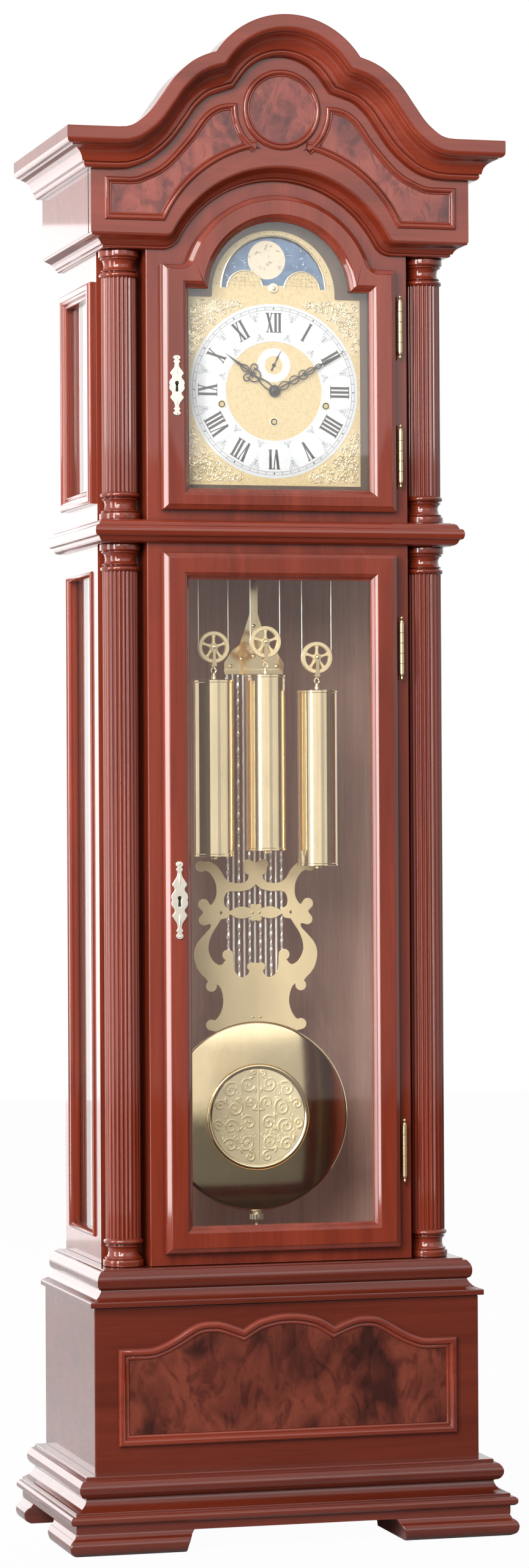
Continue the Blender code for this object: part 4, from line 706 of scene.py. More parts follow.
def makeBase():
    makeFeet()
    bm = bmesh.new()
    block(bm, (-plan["baseHalf"], plan["baseFront"], level["foot"] + 0.0005),
          (plan["baseHalf"], plan["back"], level["cap"] - gap), 0.002, 3)
    keep("base.box", bm, mahoganyBaseShaded, "case", ["base_carcass"])

    bm = bmesh.new()
    sweepCase(bm, [(o, level["foot"] + z) for o, z in profileOf(plinth["runs"])], plan["baseHalf"], plan["baseFront"])
    keep("plinth.moulding", bm, mahoganyBaseShaded, "case", ["plinth_moulding"], 40)

    bm = bmesh.new()
    rings = []
    for out, z in profileOf(baseCap["levels"]):
        half, front = plan["baseHalf"] + out, plan["baseFront"] - out
        rings.append([(-half, front, level["cap"] + z), (half, front, level["cap"] + z),
                      (half, plan["back"], level["cap"] + z), (-half, plan["back"], level["cap"] + z)])
    skin(bm, rings)
    keep("base.cap", bm, mahoganyBaseShaded, "case", ["base_cap"], 40)

    path = scallopLoop()
    bm = bmesh.new()
    sweepFront(bm, path, profileOf(basePanel["bead"]), plan["baseFront"])
    keep("base.panel.bead", bm, mahoganyAcross, "case", ["base_panel_moulding"], 40)
    bm = bmesh.new()
    sawn(bm, [shifted(path, basePanel["width"] + gap)], plan["baseFront"] - gap - 0.0015, plan["baseFront"] - gap)
    keep("base.panel.veneer", bm, baseBurl, "case", ["base_panel"])


makeBase()
print("base made")


# trunk and hood: face frame, sides, waist, windows, columns

def dialLoop(margin):
    return breakArch(0.125 + margin, 1.459 - margin, 1.7195 + margin, 0.0885 + margin, 1.7255, 0.003, 26, 4)


def hoodHole(margin):
    return breakArch(0.1385 + margin, 1.4480 - margin, 1.7305 + margin, 0.1050 + margin, level["arch"], 0.004, 26, 5)


def makeFace():
    front = plan["caseFront"]
    trunkHole = boxLoop(0.150, 0.417, 1.345)
    bm = bmesh.new()
    sawn(bm, [boxLoop(plan["faceHalf"], level["trunk"], level["caseTop"]), trunkHole, hoodHole(0.0)],
         front, front + 0.020, 0.0016, 3)
    face = keep("face.frame", bm, [mahogany, recessShaded], "case", ["face_frame"], 40)
    for polygon in face.data.polygons:  # the reveals and the inside take the dark surround tone, painted shade
        x, y, z = polygon.center
        reveal = abs(polygon.normal.y) < 0.3 and abs(x) < 0.16 and 0.41 < z < 1.83
        if reveal or polygon.normal.y > 0.5:
            polygon.material_index = 1
    bm = bmesh.new()  # a dark sheet round the dial where it sits back: painted shade
    sawn(bm, [hoodHole(0.004), dialLoop(0.0)], front + 0.0196, front + 0.0202)
    keep("dial.surround.shade", bm, recessShaded, "case")


windowBead = {"runs": [[(0.0, -0.012), (0.0, 0.0012)], [(0.0006, 0.0022), (0.0024, 0.0034), (0.0044, 0.0026)],
                       [(0.0056, 0.0006), (0.0064, -0.0016)], [(0.0072, -0.0030), (0.0072, -0.0120)]]}
hoodFrame = {"runs": [[(0.0, gap), (0.0, 0.0060)], [(0.0, 0.0060), (0.0010, 0.0094), (0.0036, 0.0110)],
                      [(0.0090, 0.0110), (0.0100, 0.0104)],
                      [(0.0104, 0.0092), (0.0122, 0.0088), (0.0138, 0.0074), (0.0146, 0.0058)],
                      [(0.0152, 0.0050), (0.0170, 0.0060), (0.0188, 0.0056), (0.0200, 0.0042)], [(0.0200, gap)]]}
fluting = {"count": 24, "radius": 0.0245, "depth": 0.0022, "x": 0.219, "y": -0.0755}
columnEnd = [[(0.0272, 0.0), (0.0280, 0.0008), (0.0282, 0.0045), (0.0280, 0.0082), (0.0272, 0.0092)],
             [(0.0258, 0.0094), (0.0250, 0.0102)], [(0.0256, 0.0108), (0.0260, 0.0117), (0.0254, 0.0126)],
             [(0.0234, 0.0132), (0.0222, 0.0150), (0.0212, 0.0185), (0.0210, 0.0215), (0.0216, 0.0245), (0.0232, 0.0270)],
             [(0.0242, 0.0274), (0.0248, 0.0283), (0.0242, 0.0292)], [(0.0224, 0.0296), (0.0222, 0.0304)],
             [(0.0246, 0.0308), (0.0266, 0.0320), (0.0274, 0.0342), (0.0266, 0.0364), (0.0246, 0.0378)],
             [(0.0236, 0.0384), (0.0205, 0.0396)]]


def sideSweep(bm, corners, runs, sign, face):  # a frame in the side's plane; corners are (y, z)
    profile = profileOf(runs)
    skin(bm, [[(sign * (face + b), y + n.x * a, z + n.y * a) for a, b in profile]
              for (y, z), n in zip(corners, inwards(corners))], True)


def makeSides():
    for side, sign in (("left", -1), ("right", 1)):
        for slotNode in (f"case_side_{side}",):
            for slot in nodes[slotNode].material_slots:
                slot.material = mahoganySide
        bm = bmesh.new()
        corners = [(-0.0075, 0.4155), (0.1495, 0.4155), (0.1495, 1.3416), (-0.0075, 1.3416)]
        sideSweep(bm, corners, windowBead["runs"], sign, plan["caseHalf"])
        keep(f"trunk.window.bead.{side}", bm, mahoganySide, "case", (), 40)
        bm = bmesh.new()
        corners = [(-0.0345, 1.434), (0.1515, 1.434), (0.1515, 1.742), (-0.0345, 1.742)]
        sideSweep(bm, corners, hoodFrame["runs"], sign, plan["caseHalf"])
        keep(f"hood.window.frame.{side}", bm, mahoganySide, "case", [f"hood_window_frame_{side}"], 40)


def makeWaist():
    low, high = level["waist"], level["hood"] - gap
    tall = high - low
    lower = [[(gap, 0.0), (0.0056, 0.0)], [(0.0062, 0.0004), (0.0100, 0.0014), (0.0132, 0.0038), (0.0150, 0.0072)],
             [(0.0158, 0.0086), (0.0186, 0.0092), (0.0206, 0.0112), (0.0217, tall / 2)]]
    half = profileOf(lower)
    profile = [(o, low + z) for o, z in half] + [(o, high - z) for o, z in reversed(half[:-1])]
    bm = bmesh.new()
    sweepCase(bm, profile, plan["caseHalf"], plan["caseFront"])
    for sign in (-1, 1):
        xs = sorted((sign * (plan["faceHalf"] + gap), sign * (plan["caseHalf"] + 0.005)))
        block(bm, (xs[0], plan["caseFront"] - 0.005, low + gap), (xs[1], plan["notch"] - gap, high - gap), 0.0)
    keep("waist.moulding", bm, mahoganyAcross, "case", ["waist_moulding"], 40)


def flutedRing(centre, z):
    ring = []
    steps = 12
    for i in range(fluting["count"] * steps):
        dip = (0.5 - 0.5 * math.cos(math.tau * i / steps)) ** 1.5
        r = fluting["radius"] - fluting["depth"] * dip
        turn = math.tau * i / (steps * fluting["count"])
        ring.append((centre[0] + r * math.cos(turn), centre[1] + r * math.sin(turn), z))
    return ring


def makeColumns():
    stacks = {"trunk": (level["trunk"], level["waist"] - gap), "hood": (level["hood"], level["bed"] - gap)}
    end = profileOf(columnEnd)
    for stack, (low, high) in stacks.items():
        for side, sign in (("left", -1), ("right", 1)):
            centre = (sign * fluting["x"], fluting["y"])
            bm = bmesh.new()
            skin(bm, [flutedRing(centre, low + 0.0350 + (high - low - 0.070) * i / 4) for i in range(5)])
            turned(bm, [(0.001, low)] + [(r, low + z) for r, z in end] + [(0.001, low + 0.0396)], centre, "z", 48)
            turned(bm, [(0.001, high)] + [(r, high - z) for r, z in end] + [(0.001, high - 0.0396)], centre, "z", 48)
            keep(f"{stack}.column.{side}", bm, mahogany, "case", [f"{stack}_column_{side}"], 50)


makeFace()
makeSides()
makeWaist()
makeColumns()
print("trunk and hood made")


# pediment: boards, bed moulding, crown, burl panels and roundel

crown = {"runs": [[(0.0, gap), (0.0, 0.0402)], [(0.0, 0.0402), (0.0006, 0.0411), (0.0018, 0.0415)],
                  [(0.0150, 0.0415), (0.0182, 0.0412), (0.0210, 0.0400), (0.0230, 0.0376)],
                  [(0.0234, 0.0362), (0.0234, 0.0336), (0.0242, 0.0326)],
                  [(0.0250, 0.0318), (0.0280, 0.0250), (0.0322, 0.0198), (0.0372, 0.0166), (0.0432, 0.0150)],
                  [(0.0440, 0.0146), (0.0442, 0.0122)],
                  [(0.0446, 0.0116), (0.0466, 0.0124), (0.0492, 0.0118), (0.0512, 0.0100), (0.0523, 0.0080)],
                  [(0.0525, 0.0070), (0.0525, gap)]]}
bedMoulding = {"runs": [[(-0.004, gap), (-0.004, 0.0255)], [(-0.0030, 0.0260), (0.0016, 0.0258), (0.0032, 0.0246)],
                        [(0.0036, 0.0226), (0.0046, 0.0210)],
                        [(0.0050, 0.0200), (0.0074, 0.0150), (0.0105, 0.0115), (0.0140, 0.0095)],
                        [(0.0146, 0.0090), (0.0150, 0.0070)],
                        [(0.0154, 0.0064), (0.0170, 0.0068), (0.0184, 0.0056), (0.0190, 0.0036)],
                        [(0.0190, gap)]]}
panelBead = [[(0.0, -0.0006), (0.0, 0.0008)], [(0.0002, 0.0016), (0.0018, 0.0036), (0.0042, 0.0042), (0.0062, 0.0034)],
             [(0.0070, 0.0022), (0.0076, 0.0018)], [(0.0082, 0.0024), (0.0092, 0.0024), (0.0100, 0.0016)],
             [(0.0104, 0.0008), (0.0104, -0.0006)]]
roundel = {"z": 1.9745, "radius": 0.0560}


def crownLine():  # top of the pediment from the left corner to the right: ogee, notch, round centre
    notchX, notchZ, middleZ = 0.1025, level["peak"] - 0.055, level["peak"] - 0.123
    top = level["crown"]
    reach = math.hypot(notchX, notchZ - middleZ)
    lean = math.degrees(math.asin((notchZ - middleZ) / reach))
    right = [(plan["friezeHalf"], top), (0.2400, top)]
    right += flow([(0.2290, top + 0.0008), (0.2166, top + 0.0055), (0.1975, top + 0.0215), (0.1800, top + 0.045),
                   (0.1620, top + 0.0700), (0.1400, top + 0.0905), (0.1210, top + 0.1015), (notchX, notchZ)], 5)
    right += arc((0, middleZ), reach, 20, lean, 90)[1:]
    return bothSides(right)[::-1]


def friezeLine(fillet=0.009):
    return breakArch(plan["friezeHalf"], level["bed"], level["frieze"], 0.177, level["arch"], fillet, 26, 5)[-2:0:-1]


def makePediment():
    path = crownLine()
    half, front, back = plan["friezeHalf"], plan["friezeFront"], plan["back"]
    rear = front + 0.018
    bm = bmesh.new()
    sawn(bm, [friezeLine() + path[::-1]], front, rear)
    for sign in (-1, 1):
        xs = sorted((sign * half, sign * (half - 0.018)))
        block(bm, (xs[0], rear - 0.004, level["frieze"]), (xs[1], back, level["crown"]), 0.0)
    block(bm, (-half + 0.009, rear - 0.004, level["crown"] - 0.018), (half - 0.009, back - 0.001, level["crown"] - 0.003),
          0.001)
    profile = profileOf(bedMoulding["runs"])
    line = friezeLine()
    caseHalf, caseFront = plan["caseHalf"], plan["caseFront"]
    sections = [[(x - n.x * a, caseFront - b, z - n.y * a) for a, b in profile]
                for (x, z), n in zip(line[1:-1], inwards(line, False)[1:-1])]
    ends = []
    for sign in (-1, 1):
        corner = [(sign * (caseHalf + b * 0.0274 / 0.027), caseFront - b, level["frieze"] - a) for a, b in profile]
        ends.append((corner, [(x, back - 0.0005, z) for x, y, z in corner]))
    skin(bm, [ends[0][1], ends[0][0]] + sections + [ends[1][0], ends[1][1]])
    for sign in (-1, 1):
        xs = sorted((sign * (plan["faceHalf"] + gap), sign * (caseHalf + 0.003)))
        block(bm, (xs[0], caseFront - 0.003, level["bed"] + gap), (xs[1], plan["notch"] - gap, level["frieze"] + 0.003), 0.0)
    keep("pediment.box", bm, mahoganyAcross, "case", ["pediment_box"], 40)

    drop = profileOf(crown["runs"])
    sections = [[(x - n.x * a, front - b, z - n.y * a) for a, b in drop]
                for (x, z), n in zip(path, inwards(path, False))]
    corners = []
    for sign in (-1, 1):
        near = [(sign * (half + b), front - b, level["crown"] - a) for a, b in drop]
        corners.append((near, [(x, back, z) for x, y, z in near]))
    bm = bmesh.new()
    skin(bm, [corners[0][1], corners[0][0]] + sections[1:-1] + [corners[1][0], corners[1][1]])
    keep("crown.moulding", bm, mahoganyAcross, "case", ["crown_moulding"], 40)

    bm = bmesh.new()
    veneer = bmesh.new()
    centre = (0, roundel["z"])
    ring = arc(centre, roundel["radius"], 64, 0, 360)
    sweepFront(bm, ring, profileOf(panelBead), front)
    sawn(veneer, [arc(centre, roundel["radius"] - 0.0100, 64, 0, 360)], front - 0.0010, front + 0.0004)
    for sign in (-1, 1):
        loop = friezePanel()
        if sign < 0:
            loop = [(-x, z) for x, z in reversed(loop)]
        sweepFront(bm, loop, profileOf(panelBead), front)
        sawn(veneer, [shifted(loop, 0.0100)], front - 0.0010, front + 0.0004)
    keep("pediment.beads", bm, mahoganyAcross, "case", (), 40)
    keep("pediment.veneer", veneer, pedimentBurl, "case")


def friezePanel():  # right-hand panel: ogee top, end cut round the roundel, arched foot
    arcZ, arcR = 1.7427, 0.1818
    endR = roundel["radius"] + 0.0070
    foot0 = math.degrees(math.acos((1.8160 - arcZ) / arcR))
    loop = [(0.2515, 1.8160), (0.2515, 1.8748), (0.2151, 1.8748)]
    loop += flow([(0.2060, 1.8760), (0.1948, 1.8804), (0.1743, 1.8911), (0.1559, 1.9075), (0.1312, 1.9362),
                  (0.1126, 1.9620), (0.0962, 1.9752), (0.0797, 1.9806), (0.0632, 1.9818)], 4)
    loop += arc((0, roundel["z"]), endR, 12, 2, -61)
    loop += [(arcR * math.sin(math.radians(t)), arcZ + arcR * math.cos(math.radians(t)))
             for t in [11.5 + (foot0 - 11.5) * i / 18 for i in range(19)]]
    return loop


makePediment()
print("pediment made")


# doors with their panes, key plates and hinges

door = {"back": -0.1048, "half": 0.168, "thick": 0.018, "stile": 0.0385, "rail": 0.037, "low": 0.399, "high": 1.363}
doorEdge = [[(0.0, 0.0005), (0.0, 0.0098)], [(0.0002, 0.0112), (0.0008, 0.0128)],
            [(0.0010, 0.0132), (0.0038, 0.0149), (0.0066, 0.0166)], [(0.0072, 0.0170), (0.0075, 0.0177)],
            [(0.0082, 0.0180)]]
lightEdge = [[(0.0098, 0.0180)], [(0.0093, 0.0179), (0.0090, 0.0172)],
             [(0.0088, 0.0171), (0.00703, 0.01598), (0.0053, 0.0148)], [(0.0052, 0.0146), (0.0050, 0.0136)],
             [(0.0048, 0.0134), (0.00332, 0.01168), (0.0019, 0.0099)], [(0.0017, 0.0096), (0.0010, 0.0092)],
             [(0.0004, 0.0091), (0.0, 0.0086)], [(0.0, 0.0080), (0.0113, 0.0080)], [(0.0113, 0.0005)]]


def makeDoorFrame(name, outer, light, body, hides):  # outer and light loops have as many points each
    outerPart, lightPart = profileOf(doorEdge), profileOf(lightEdge)
    back = door["back"]
    sections = []
    single = [p for i, p in enumerate(light) if p != light[i - 1]]  # a sharp corner meets several points of a round one
    turns = dict(zip(single, inwards(single)))
    for (x, z), n, (u, w), m in zip(outer, inwards(outer), light, [turns[p] for p in light]):
        ring = [(x + n.x * a, back - b, z + n.y * a) for a, b in outerPart]
        ring += [(u - m.x * a, back - b, w - m.y * a) for a, b in lightPart]
        sections.append(ring)
    bm = bmesh.new()
    skin(bm, sections, True)
    bmesh.ops.remove_doubles(bm, verts=bm.verts, dist=1e-6)
    return keep(name, bm, mahogany, body, hides, 40)


def keyPlate(name, middle, tall, wide, body, hides):
    centre = -door["half"] + door["stile"] / 2
    right = flow([(0.0, -tall), (0.0032, -tall * 0.985), (0.0050, -tall * 0.94), (0.0048, -tall * 0.885),
                  (0.0030, -tall * 0.845), (0.0046, -tall * 0.80), (0.0042, -tall * 0.755), (0.0028, -tall * 0.715),
                  (wide * 0.34, -tall * 0.60), (wide * 0.62, -tall * 0.50), (wide * 0.86, -tall * 0.395),
                  (wide * 0.66, -tall * 0.325), (wide * 0.60, -tall * 0.25), (wide * 0.90, -tall * 0.15),
                  (wide * 0.96, -tall * 0.06), (wide * 0.88, 0.0)], 4)
    right += [(x, -z) for x, z in reversed(right[:-1])]
    outline = [(centre + x, middle + z) for x, z in bothSides(right)]
    hole = arc((centre, middle + 0.003), 0.0027, 16, -58, 238)
    hole += [(centre - 0.0021, middle - 0.0085), (centre + 0.0021, middle - 0.0085)]
    front = door["back"] - door["thick"] - gap
    bm = bmesh.new()
    sawn(bm, [outline, hole], front - 0.0018, front, 0.0006, 3)
    for sign in (-1, 1):  # pin heads and a raised rib on each wing
        turned(bm, [(0.0014, front - 0.0012), (0.0014, front - 0.0021), (0.0008, front - 0.0026), (1e-4, front - 0.0027)],
               (centre, middle + sign * tall * 0.93), "y", 16)
        wire(bm, [(centre, front - 0.0017, middle + sign * tall * (0.36 + 0.04 * i)) for i in range(9)], 0.0011, 8, 0.6,
             lambda t: 0.35 + math.sin(math.pi * t))
    keep(name, bm, plateBrass, body, hides, 40)
    # a dark disc and slot behind the key hole: painted shade inside the hole
    bm = bmesh.new()
    turned(bm, [(1e-4, front - 0.0004), (0.0034, front - 0.0004), (0.0034, front - 0.0001), (1e-4, front - 0.0001)],
           (centre, middle + 0.003), "y", 20)
    sawn(bm, [[(centre - 0.0026, middle - 0.0090), (centre + 0.0026, middle - 0.0090), (centre + 0.0026, middle + 0.002),
               (centre - 0.0026, middle + 0.002)]], front - 0.0004, front - 0.0001)
    keep(name + ".hole", bm, holeShade, body)


hinge = {"x": 0.1748, "y": -0.1138, "radius": 0.0034, "half": 0.036, "knuckles": 5,
         "places": {"trunk_hinge_upper": 1.2325, "trunk_hinge_lower": 0.5325, "hood_hinge_upper": 1.6805,
                    "hood_hinge_lower": 1.5005}}


def makeHinges():
    r, half = hinge["radius"], hinge["half"]
    tip = [(0.0004, half + 0.0085), (0.0014, half + 0.0080), (0.0021, half + 0.0066), (0.0021, half + 0.0054),
           (0.0013, half + 0.0040), (0.0012, half + 0.0032), (0.0024, half + 0.0022), (0.0028, half + 0.0012)]
    seat = plan["caseFront"] - gap
    for name, z in hinge["places"].items():
        middle = []
        long = 2 * half / hinge["knuckles"]
        for k in range(hinge["knuckles"]):
            low = -half + long * k
            middle += [(r - 0.0006, low), (r, low + 0.0006), (r, low + long - 0.0006), (r - 0.0006, low + long)]
        profile = [(a, z - h) for a, h in tip] + [(a, z + h) for a, h in middle] + [(a, z + h) for a, h in reversed(tip)]
        bm = bmesh.new()
        turned(bm, profile, (hinge["x"], hinge["y"]), "z", 24)
        low, high = z - half * 0.9, z + half * 0.9
        near, far = hinge["x"] - 0.0006, hinge["x"] + 0.0006  # the leaf is let into the frame, its edge shows
        outline = [(near, hinge["y"]), (far, hinge["y"]), (far, seat), (near, seat)]
        skin(bm, [[(x, y, h) for x, y in outline] for h in (low, high)])
        keep(name.replace("_", "."), bm, hingeBrass, "case", [name], 40)


def makeDoors():
    half, low, high = door["half"], door["low"], door["high"]
    inner = half - door["stile"]
    makeDoorFrame("trunk.door.frame", boxLoop(half, low, high), boxLoop(inner, low + door["rail"], high - door["rail"]),
                  "trunk_door", ["trunk_door"])
    outer = breakArch(half, 1.4215, 1.7595, 0.138, level["arch"], 0.014, 24, 7)
    shoulder, radius = 1.727, 0.1015
    lean = math.degrees(math.asin((shoulder - level["arch"]) / radius))
    light = [(inner, 1.4515), (inner, shoulder)] + arc((0, level["arch"]), radius, 1, lean, lean) * 7
    light = bothSides(light + arc((0, level["arch"]), radius, 24, lean, 90)[1:-1] + [(0.0, level["arch"] + radius)])
    makeDoorFrame("hood.door.frame", outer, light, "hood_door", ["hood_door"])
    keyPlate("trunk.key.plate", 0.8845, 0.0535, 0.0122, "trunk_door", ["trunk_escutcheon"])
    keyPlate("hood.key.plate", 1.5917, 0.0415, 0.0112, "hood_door", ["hood_escutcheon"])
    makeHinges()


makeDoors()
print("doors and hinges made")


# dial: chapter ring, numerals, ornaments, spandrels, moon arch

dial = {"front": -0.0842, "back": -0.0822, "z": 1.5905, "ringOut": 0.1215, "ringIn": 0.0690, "numeralR": 0.0952,
        "numeralTall": 0.0275, "thick": 0.0035, "thin": 0.0014, "secondsZ": 1.6265, "moonZ": 1.732, "axisZ": 1.729}
numerals = ["XII", "I", "II", "III", "IIII", "V", "VI", "VII", "VIII", "IX", "X", "XI"]


def slab(bm, corners, front, rear):
    skin(bm, [[(x, front, z) for x, z in corners], [(x, rear, z) for x, z in corners]])


def letterStrokes(word):  # each stroke is (foot x, head x, width); each serif is (x, width, at the head)
    widths = {"I": 0.0058, "V": 0.0112, "X": 0.0116}
    x = -sum(widths[c] for c in word) / 2
    strokes, serifs = [], []
    for c in word:
        w = widths[c]
        middle = x + w / 2
        reach = w / 2 - 0.0026
        if c == "I":
            strokes.append((middle, middle, dial["thick"]))
            serifs += [(middle, 0.0058, True), (middle, 0.0058, False)]
        elif c == "V":
            strokes += [(middle, middle - reach, dial["thick"]), (middle + 0.0004, middle + reach + 0.0006, dial["thin"])]
            serifs += [(middle - reach, 0.0056, True), (middle + reach + 0.0006, 0.0042, True)]
        else:
            strokes += [(middle + reach, middle - reach, dial["thick"]), (middle - reach, middle + reach, dial["thin"])]
            serifs += [(middle - reach, 0.0054, True), (middle + reach, 0.0044, True), (middle - reach, 0.0044, False),
                       (middle + reach, 0.0054, False)]
        x += w
    return strokes, serifs


def onDial(u, v, angle, radius):  # u runs with the hour, v away from the centre
    t = math.radians(angle)
    r = radius + v
    return (r * math.sin(t) + u * math.cos(t), dial["z"] + r * math.cos(t) - u * math.sin(t))


def makeNumerals(face):
    bm = bmesh.new()
    tall, step = dial["numeralTall"] / 2, 0.0
    for hour, word in enumerate(numerals):
        strokes, serifs = letterStrokes(word)
        for foot0, head, width in strokes:
            step += 2e-6  # no two faces in one plane
            corners = [(foot0 - width / 2, -tall), (foot0 + width / 2, -tall), (head + width / 2, tall), (head - width / 2, tall)]
            slab(bm, [onDial(u, v, hour * 30, dial["numeralR"]) for u, v in corners], face - 0.00016 - step, face)
        for x, width, atHead in serifs:
            step += 2e-6
            v = tall if atHead else -tall + 0.0011
            corners = [(x - width / 2, v - 0.0011), (x + width / 2, v - 0.0011), (x + width / 2, v), (x - width / 2, v)]
            slab(bm, [onDial(u, w, hour * 30, dial["numeralR"]) for u, w in corners], face - 0.00016 - step, face)
    keep("numerals", bm, numeralInk, "case")


def makeTrack(face):
    bm = bmesh.new()
    for radius in (0.1168, 0.1128):
        ringed(bm, [(radius, face), (radius, face - 0.00012), (radius + 0.00035, face - 0.00012), (radius + 0.00035, face)],
               (0, dial["z"]), "y", 120)
    for minute in range(60):
        wide, low, high = (0.0011, -0.0010, 0.0046) if minute % 5 == 0 else (0.0003, 0.0, 0.0040)
        corners = [(-wide, low), (wide, low), (wide, high), (-wide, high)]
        if minute % 5 == 0:
            corners = [(0, 0.0003), (0.0013, 0.0020), (0, 0.0037), (-0.0013, 0.0020)]
        slab(bm, [onDial(u, v, minute * 6, 0.1128) for u, v in corners], face - 0.00014, face)
    keep("minute.track", bm, numeralInk, "case")


def makeRingOrnaments(face):
    bm = bmesh.new()
    motifs = {"outer": (0.1040, 0.0062, 1), "inner": (0.0772, 0.0046, -1)}
    for hour in range(12):
        for radius, size, way in motifs.values():
            angle = hour * 30 + 15
            for sign in (-1, 1):
                for cu, cv, r, start, turns in ((0.42, 0.25, 0.42, 200, 0.9), (0.85, 0.75, 0.34, 180, -0.85),
                                                (0.30, -0.55, 0.28, 120, 0.8)):
                    curl = scroll((0, 0), r * size, start, turns, 0, 12, 0.7)
                    points = []
                    for a, y, b in curl:
                        x, z = onDial(sign * (cu * size + a), way * (cv * size + b), angle, radius)
                        points.append((x, face - 0.00010, z))
                    wire(bm, points, 0.00030, 4, 0.5)
            stem = [onDial(0, way * size * (-0.9 + 0.2 * i), angle, radius) for i in range(10)]
            wire(bm, [(x, face - 0.00010, z) for x, z in stem], 0.00034, 4, 0.5, lambda t: 0.5 + math.sin(math.pi * t))
    keep("ring.ornaments", bm, ornamentInk, "case")


def makeChapter():
    front = dial["front"]
    face = front - 0.00042
    bm = bmesh.new()
    out, inn = dial["ringOut"], dial["ringIn"]
    ringed(bm, [(inn, front + 0.0001), (inn, face + 0.0001), (inn + 0.0003, face), (out - 0.0003, face), (out, face + 0.0001),
                (out, front + 0.0001)], (0, dial["z"]), "y", 120)
    keep("chapter.ring", bm, silvering, "case")
    bm = bmesh.new()
    for hour in range(12):  # white shields behind the numerals
        shield = flow([(-0.0205, -0.0150), (-0.0168, -0.0205), (0.0, -0.0212), (0.0168, -0.0205), (0.0205, -0.0150),
                       (0.0228, 0.0), (0.0222, 0.0120), (0.0160, 0.0150), (0.0, 0.0156), (-0.0160, 0.0150),
                       (-0.0222, 0.0120), (-0.0228, 0.0), (-0.0205, -0.0150)], 3)[:-1]
        slab(bm, [onDial(u, v, hour * 30, dial["numeralR"]) for u, v in shield], face - 0.00008, face)
    keep("numeral.shields", bm, enamelWhite, "case")
    makeNumerals(face - 0.00008)
    makeTrack(face)
    makeRingOrnaments(face)
    bm = bmesh.new()
    centre = (0, dial["secondsZ"])
    ringed(bm, [(0.0130, front + 0.0001), (0.0130, face), (0.0238, face), (0.0238, front + 0.0001)], centre, "y", 72)
    keep("seconds.ring", bm, enamelWhite, "case")
    bm = bmesh.new()
    for k in range(60):
        long = 0.0026 if k % 5 == 0 else 0.0014
        wide = 0.00028 if k % 5 == 0 else 0.00014
        t = math.radians(k * 6)
        corners = []
        for u, v in ((-wide, 0.0228), (wide, 0.0228), (wide, 0.0228 - long), (-wide, 0.0228 - long)):
            corners.append((v * math.sin(t) + u * math.cos(t), dial["secondsZ"] + v * math.cos(t) - u * math.sin(t)))
        slab(bm, corners, face - 0.0001, face)
    keep("seconds.ticks", bm, ornamentInk, "case")
    bm = bmesh.new()
    for x, z in ((-0.075, 1.571), (0.0, 1.5476), (0.075, 1.571)):  # bushes of the winding holes
        ringed(bm, [(0.0047, front + 0.0002), (0.0047, face - 0.0002), (0.0050, face - 0.0006), (0.0060, face - 0.0006),
                    (0.0063, face - 0.0002), (0.0063, front + 0.0002)], (x, z), "y", 32)
    keep("winding.bushes", bm, castGold, "case")
    # dark tubes inside the winding holes: painted shade
    bm = bmesh.new()
    for x, z in ((-0.075, 1.571), (0.0, 1.5476), (0.075, 1.571)):
        ringed(bm, [(0.0031, face - 0.0002), (0.0048, face - 0.0002), (0.0048, front + 0.0012), (0.0031, front + 0.0012)],
               (x, z), "y", 28)
    keep("winding.wells", bm, holeShade, "case")


def cornerRoom(x, z, r):  # room for a curl in a corner: inside the plate, clear of the ring, near enough to the corner
    return x + r < 0.1240 and z + r < 0.1272 and math.hypot(x, z) - r > 0.1240 and x + z > 0.148


def makeSpandrels():
    front = dial["front"]
    bm, ground = bmesh.new(), bmesh.new()
    for sx in (-1, 1):
        for sz in (-1, 1):
            made = 0
            while made < 120:
                x, z, r = dice.uniform(0.040, 0.1225), dice.uniform(0.045, 0.1255), dice.uniform(0.0018, 0.0052)
                if not cornerRoom(x, z, r):
                    continue
                start, turns = dice.uniform(0, 360), dice.choice((-1, 1)) * dice.uniform(0.7, 1.5)
                curl = scroll((x, z), r, start, turns, front - dice.uniform(0.0004, 0.0013), 14, 0.75)
                wire(bm, [(sx * a, y, dial["z"] + sz * b) for a, y, b in curl], 0.00075, 5, 0.9, lambda t: 1.2 - 0.6 * t)
                made += 1
            corner = [(0.1238, 0.1270)] + [(0.1238, 0.060), (0.1232, 0.0505)]
            corner += [(0.1236 * math.cos(t), 0.1236 * math.sin(t)) for t in [math.radians(26 + 40 * i / 14) for i in range(15)]]
            corner += [(0.0500, 0.1266)]
            sawn(ground, [[(sx * a, dial["z"] + sz * b) for a, b in corner]], front - 0.00025, front)
    keep("spandrels", bm, castGold, "case")
    keep("spandrel.ground", ground, spandrelGround, "case")


